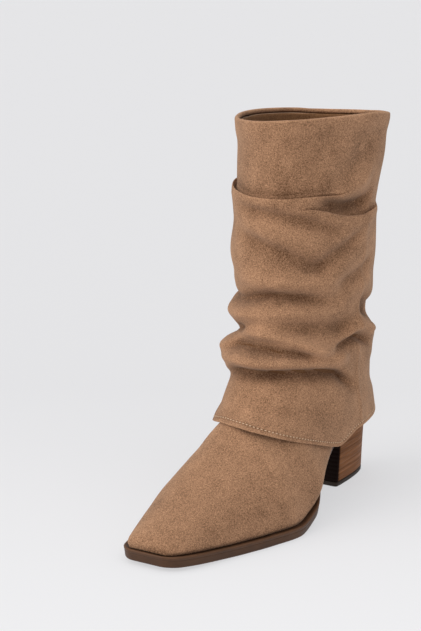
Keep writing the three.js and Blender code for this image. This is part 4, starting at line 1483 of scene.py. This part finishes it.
@dataclass(frozen=True)
class StitchRow:
    """A row of short stitches along a closed path on the suede."""

    name: str
    pitch: float = 2.7
    length: float = 1.5
    width: float = 0.7
    lift: float = 0.14
    lean: float = 0.14

    def path(self, points: np.ndarray, outward: np.ndarray) -> bpy.types.Object:
        """A closed edge loop that knows which way is out.

        Args:
            points: Points of the path in millimetres.
            outward: Direction out of the surface at each point.

        Returns:
            The loop as an object.
        """
        count = len(points)
        mesh = bpy.data.meshes.new(self.name)
        mesh.from_pydata((points * MM).tolist(), [(i, (i + 1) % count) for i in range(count)], [])
        layer = mesh.attributes.new("outward", "FLOAT_VECTOR", "POINT")
        layer.data.foreach_set("vector", outward.astype(np.float32).ravel())
        return add_object(self.name, mesh)

    @staticmethod
    def tree() -> bpy.types.NodeTree:
        """The node tree: stitches at even steps along the path, turned to the surface."""
        tree = bpy.data.node_groups.new("stitch_row", "GeometryNodeTree")
        faces = tree.interface
        faces.new_socket("Geometry", in_out="INPUT", socket_type="NodeSocketGeometry")
        for name in ("Pitch", "Length", "Width", "Lift", "Lean"):
            faces.new_socket(name, in_out="INPUT", socket_type="NodeSocketFloat")
        faces.new_socket("Thread", in_out="INPUT", socket_type="NodeSocketMaterial")
        faces.new_socket("Geometry", in_out="OUTPUT", socket_type="NodeSocketGeometry")
        kit = Shade(tree)
        entry = tree.nodes.new("NodeGroupInput").outputs
        curve = kit.add("GeometryNodeMeshToCurve", {"Mesh": entry["Geometry"]}).outputs[0]
        spaced = kit.add("GeometryNodeResampleCurve", {"Curve": curve, "Length": entry["Pitch"]}, mode="LENGTH")
        bead = kit.add("GeometryNodeMeshUVSphere", {"Segments": 8, "Rings": 6, "Radius": 1.0}).outputs[0]
        half = [kit.times(entry[name], 0.5) for name in ("Length", "Width")]
        size = kit.add("ShaderNodeCombineXYZ", {"X": half[0], "Y": half[1],
                                                "Z": kit.times(half[1], 0.8)}).outputs[0]
        stitch = kit.add("GeometryNodeTransform", {"Geometry": bead, "Scale": size}).outputs[0]
        outward = kit.add("GeometryNodeInputNamedAttribute", {"Name": "outward"},
                          data_type="FLOAT_VECTOR").outputs["Attribute"]
        tangent = kit.add("GeometryNodeInputTangent").outputs[0]
        level = kit.add("FunctionNodeAlignRotationToVector", {"Vector": outward}, axis="Z").outputs[0]
        along = kit.add("FunctionNodeAlignRotationToVector", {"Rotation": level, "Vector": tangent},
                        axis="X", pivot_axis="Z").outputs[0]
        lean = kit.add("ShaderNodeCombineXYZ", {"Z": entry["Lean"]}).outputs[0]
        turn = kit.add("FunctionNodeEulerToRotation", {0: lean}).outputs[0]
        leant = kit.add("FunctionNodeRotateRotation", {"Rotation": along, "Rotate By": turn},
                        rotation_space="LOCAL").outputs[0]
        placed = kit.add("GeometryNodeInstanceOnPoints", {"Points": spaced.outputs[0], "Instance": stitch,
                                                          "Rotation": leant}).outputs[0]
        offset = kit.add("ShaderNodeVectorMath", {0: outward, "Scale": entry["Lift"]},
                         operation="SCALE").outputs[0]
        lifted = kit.add("GeometryNodeTranslateInstances", {"Instances": placed, "Translation": offset})
        lifted.inputs["Local Space"].default_value = False
        real = kit.add("GeometryNodeRealizeInstances", {"Geometry": lifted.outputs[0]}).outputs[0]
        done = kit.add("GeometryNodeSetMaterial", {"Geometry": real, "Material": entry["Thread"]}).outputs[0]
        kit.add("NodeGroupOutput", {"Geometry": done})
        return tree

    def build(self, points: np.ndarray, outward: np.ndarray, thread: bpy.types.Material) -> bpy.types.Object:
        """Makes and dresses the row of stitches.

        Args:
            points: Points of the closed path in millimetres.
            outward: Direction out of the surface at each point.
            thread: Finish of the thread.

        Returns:
            The piece.
        """
        loop = self.path(points, outward)
        tree = self.tree()
        step = loop.modifiers.new("stitches", "NODES")
        values = {"Pitch": self.pitch * MM, "Length": self.length * MM, "Width": self.width * MM,
                  "Lift": self.lift * MM, "Lean": self.lean, "Thread": thread}
        step.node_group = tree
        for item in tree.interface.items_tree:
            if item.in_out == "INPUT" and item.name in values:
                step[item.identifier] = values[item.name]
        applied(loop)
        smooth_faces(loop.data)
        dress(loop, "suede_sleeve")
        return loop


def hem_path(sleeve: Sleeve, count: int = 720) -> tuple[np.ndarray, np.ndarray]:
    """The line of the hem's stitches, and the way out of the suede along it.

    Args:
        sleeve: The sleeve.
        count: Points on the line.

    Returns:
        The points and their outward directions.
    """
    angle = round_angles(count)
    height = sleeve.hem(angle) + sleeve.stitch_line
    spot = lambda a, z: SHAFT.point(a, sleeve.surface(a, z), z)
    along = spot(angle + 0.3, height) - spot(angle - 0.3, height)
    rising = spot(angle, height + 1.6) - spot(angle, height - 1.6)
    outward = np.cross(along, rising)
    outward /= np.linalg.norm(outward, axis=1, keepdims=True)
    return spot(angle, height), outward


# Studio


@dataclass(frozen=True)
class Studio:
    """Floor, lights and camera."""

    eye: tuple[float, float, float] = (1094.26, 620.87, 398.95)
    right: tuple[float, float, float] = (-0.55423711, 0.83235883, 0.0)
    up: tuple[float, float, float] = (-0.18060923, -0.12026104, 0.97617498)
    focal: float = 1762.679
    frame_height: float = 631.0
    sensor: float = 36.0
    reach: float = 16.0

    def build_camera(self) -> None:
        """Places the camera at the photograph's angle."""
        data = bpy.data.cameras.new("camera")
        data.sensor_width = self.sensor
        data.lens = self.focal / self.frame_height * self.sensor
        data.clip_start, data.clip_end = 0.01, 100.0
        camera = add_object("camera", data)
        right, up = Vector(self.right), Vector(self.up)
        back = right.cross(up)
        turn = Matrix((right, up, back)).transposed().to_4x4()
        camera.matrix_world = Matrix.Translation(Vector(self.eye) * MM) @ turn
        bpy.context.scene.camera = camera

    def build_floor(self) -> None:
        """Lays the floor, far enough to fill the view."""
        far = self.reach / MM
        points = [(-far, -far, 0), (far, -far, 0), (far, far, 0), (-far, far, 0)]
        floor = make_mesh("studio_floor", np.array(points, float), [[0, 1, 2, 3]])
        assign(floor, FloorFinish().build())

    def light(self, name: str, toward: tuple, width: float, strength: float, tint: tuple) -> None:
        """Hangs one wide, far light.

        Args:
            name: Its name.
            toward: Direction from the boot to the light.
            width: How wide it looks from the boot, in degrees.
            strength: Its strength.
            tint: Its colour.
        """
        data = bpy.data.lights.new(name, "SUN")
        data.energy, data.color = strength, tint
        data.angle = math.radians(width)
        add_object(name, data).rotation_euler = Vector(toward).to_track_quat("Z", "Y").to_euler()

    def build(self) -> None:
        """Sets up the whole studio."""
        scene = bpy.context.scene
        scene.view_settings.view_transform = "Standard"
        world = bpy.data.worlds.new("studio")
        world.use_nodes = True
        sky = next(n for n in world.node_tree.nodes if n.type == "BACKGROUND")
        sky.inputs["Color"].default_value = (1.0, 1.0, 1.01, 1.0)
        sky.inputs["Strength"].default_value = 0.4
        scene.world = world
        self.light("key_softbox", (1.0, -0.62, 0.62), 50.0, 1.35, (1.0, 0.985, 0.965))
        self.light("top_softbox", (0.3, 0.0, 1.0), 85.0, 1.05, (1.0, 1.0, 1.0))
        self.light("side_softbox", (0.45, 1.0, 0.45), 80.0, 0.5, (1.0, 0.995, 0.985))
        self.build_floor()
        self.build_camera()
        log.info("studio ready")


# The whole boot


def main() -> None:
    """Builds every piece in order."""
    logging.basicConfig(level=logging.INFO, format="%(message)s")
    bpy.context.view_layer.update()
    groups = SharedGroups()
    suede = SuedeFinish("suede").build(groups)
    sleeve_suede = SuedeFinish("suede_sleeve").build(groups)
    lining = SuedeFinish("lining_leather", dark=(0.09, 0.038, 0.016, 1.0), light=(0.27, 0.135, 0.062, 1.0),
                         sheen=0.1).build(groups)
    edge = PolishedFinish("sole_rubber", dark=(0.028, 0.0125, 0.006, 1.0), light=(0.118, 0.055, 0.027, 1.0),
                          gloss=0.48).build(groups)
    tread = TreadFinish().build(groups)
    rubber = PolishedFinish("lift_rubber", dark=(0.012, 0.008, 0.006, 1.0), light=(0.045, 0.03, 0.021, 1.0),
                            gloss=0.6).build(groups)
    thread = PolishedFinish("hem_thread", dark=(0.5, 0.34, 0.21, 1.0), light=(0.85, 0.64, 0.45, 1.0),
                            gloss=0.6).build(groups)
    leather = StackFinish().build(groups)
    Studio().build()
    Outsole().build(edge, tread)
    heel = StackedHeel()
    heel.build_block(leather)
    heel.build_lift(rubber)
    Insole().build(lining)
    Upper().build(suede, lining)
    sleeve = Sleeve()
    sleeve.build(sleeve_suede, lining)
    StitchRow("hem_stitches").build(*hem_path(sleeve), thread)


if __name__ == "__main__":
    main()
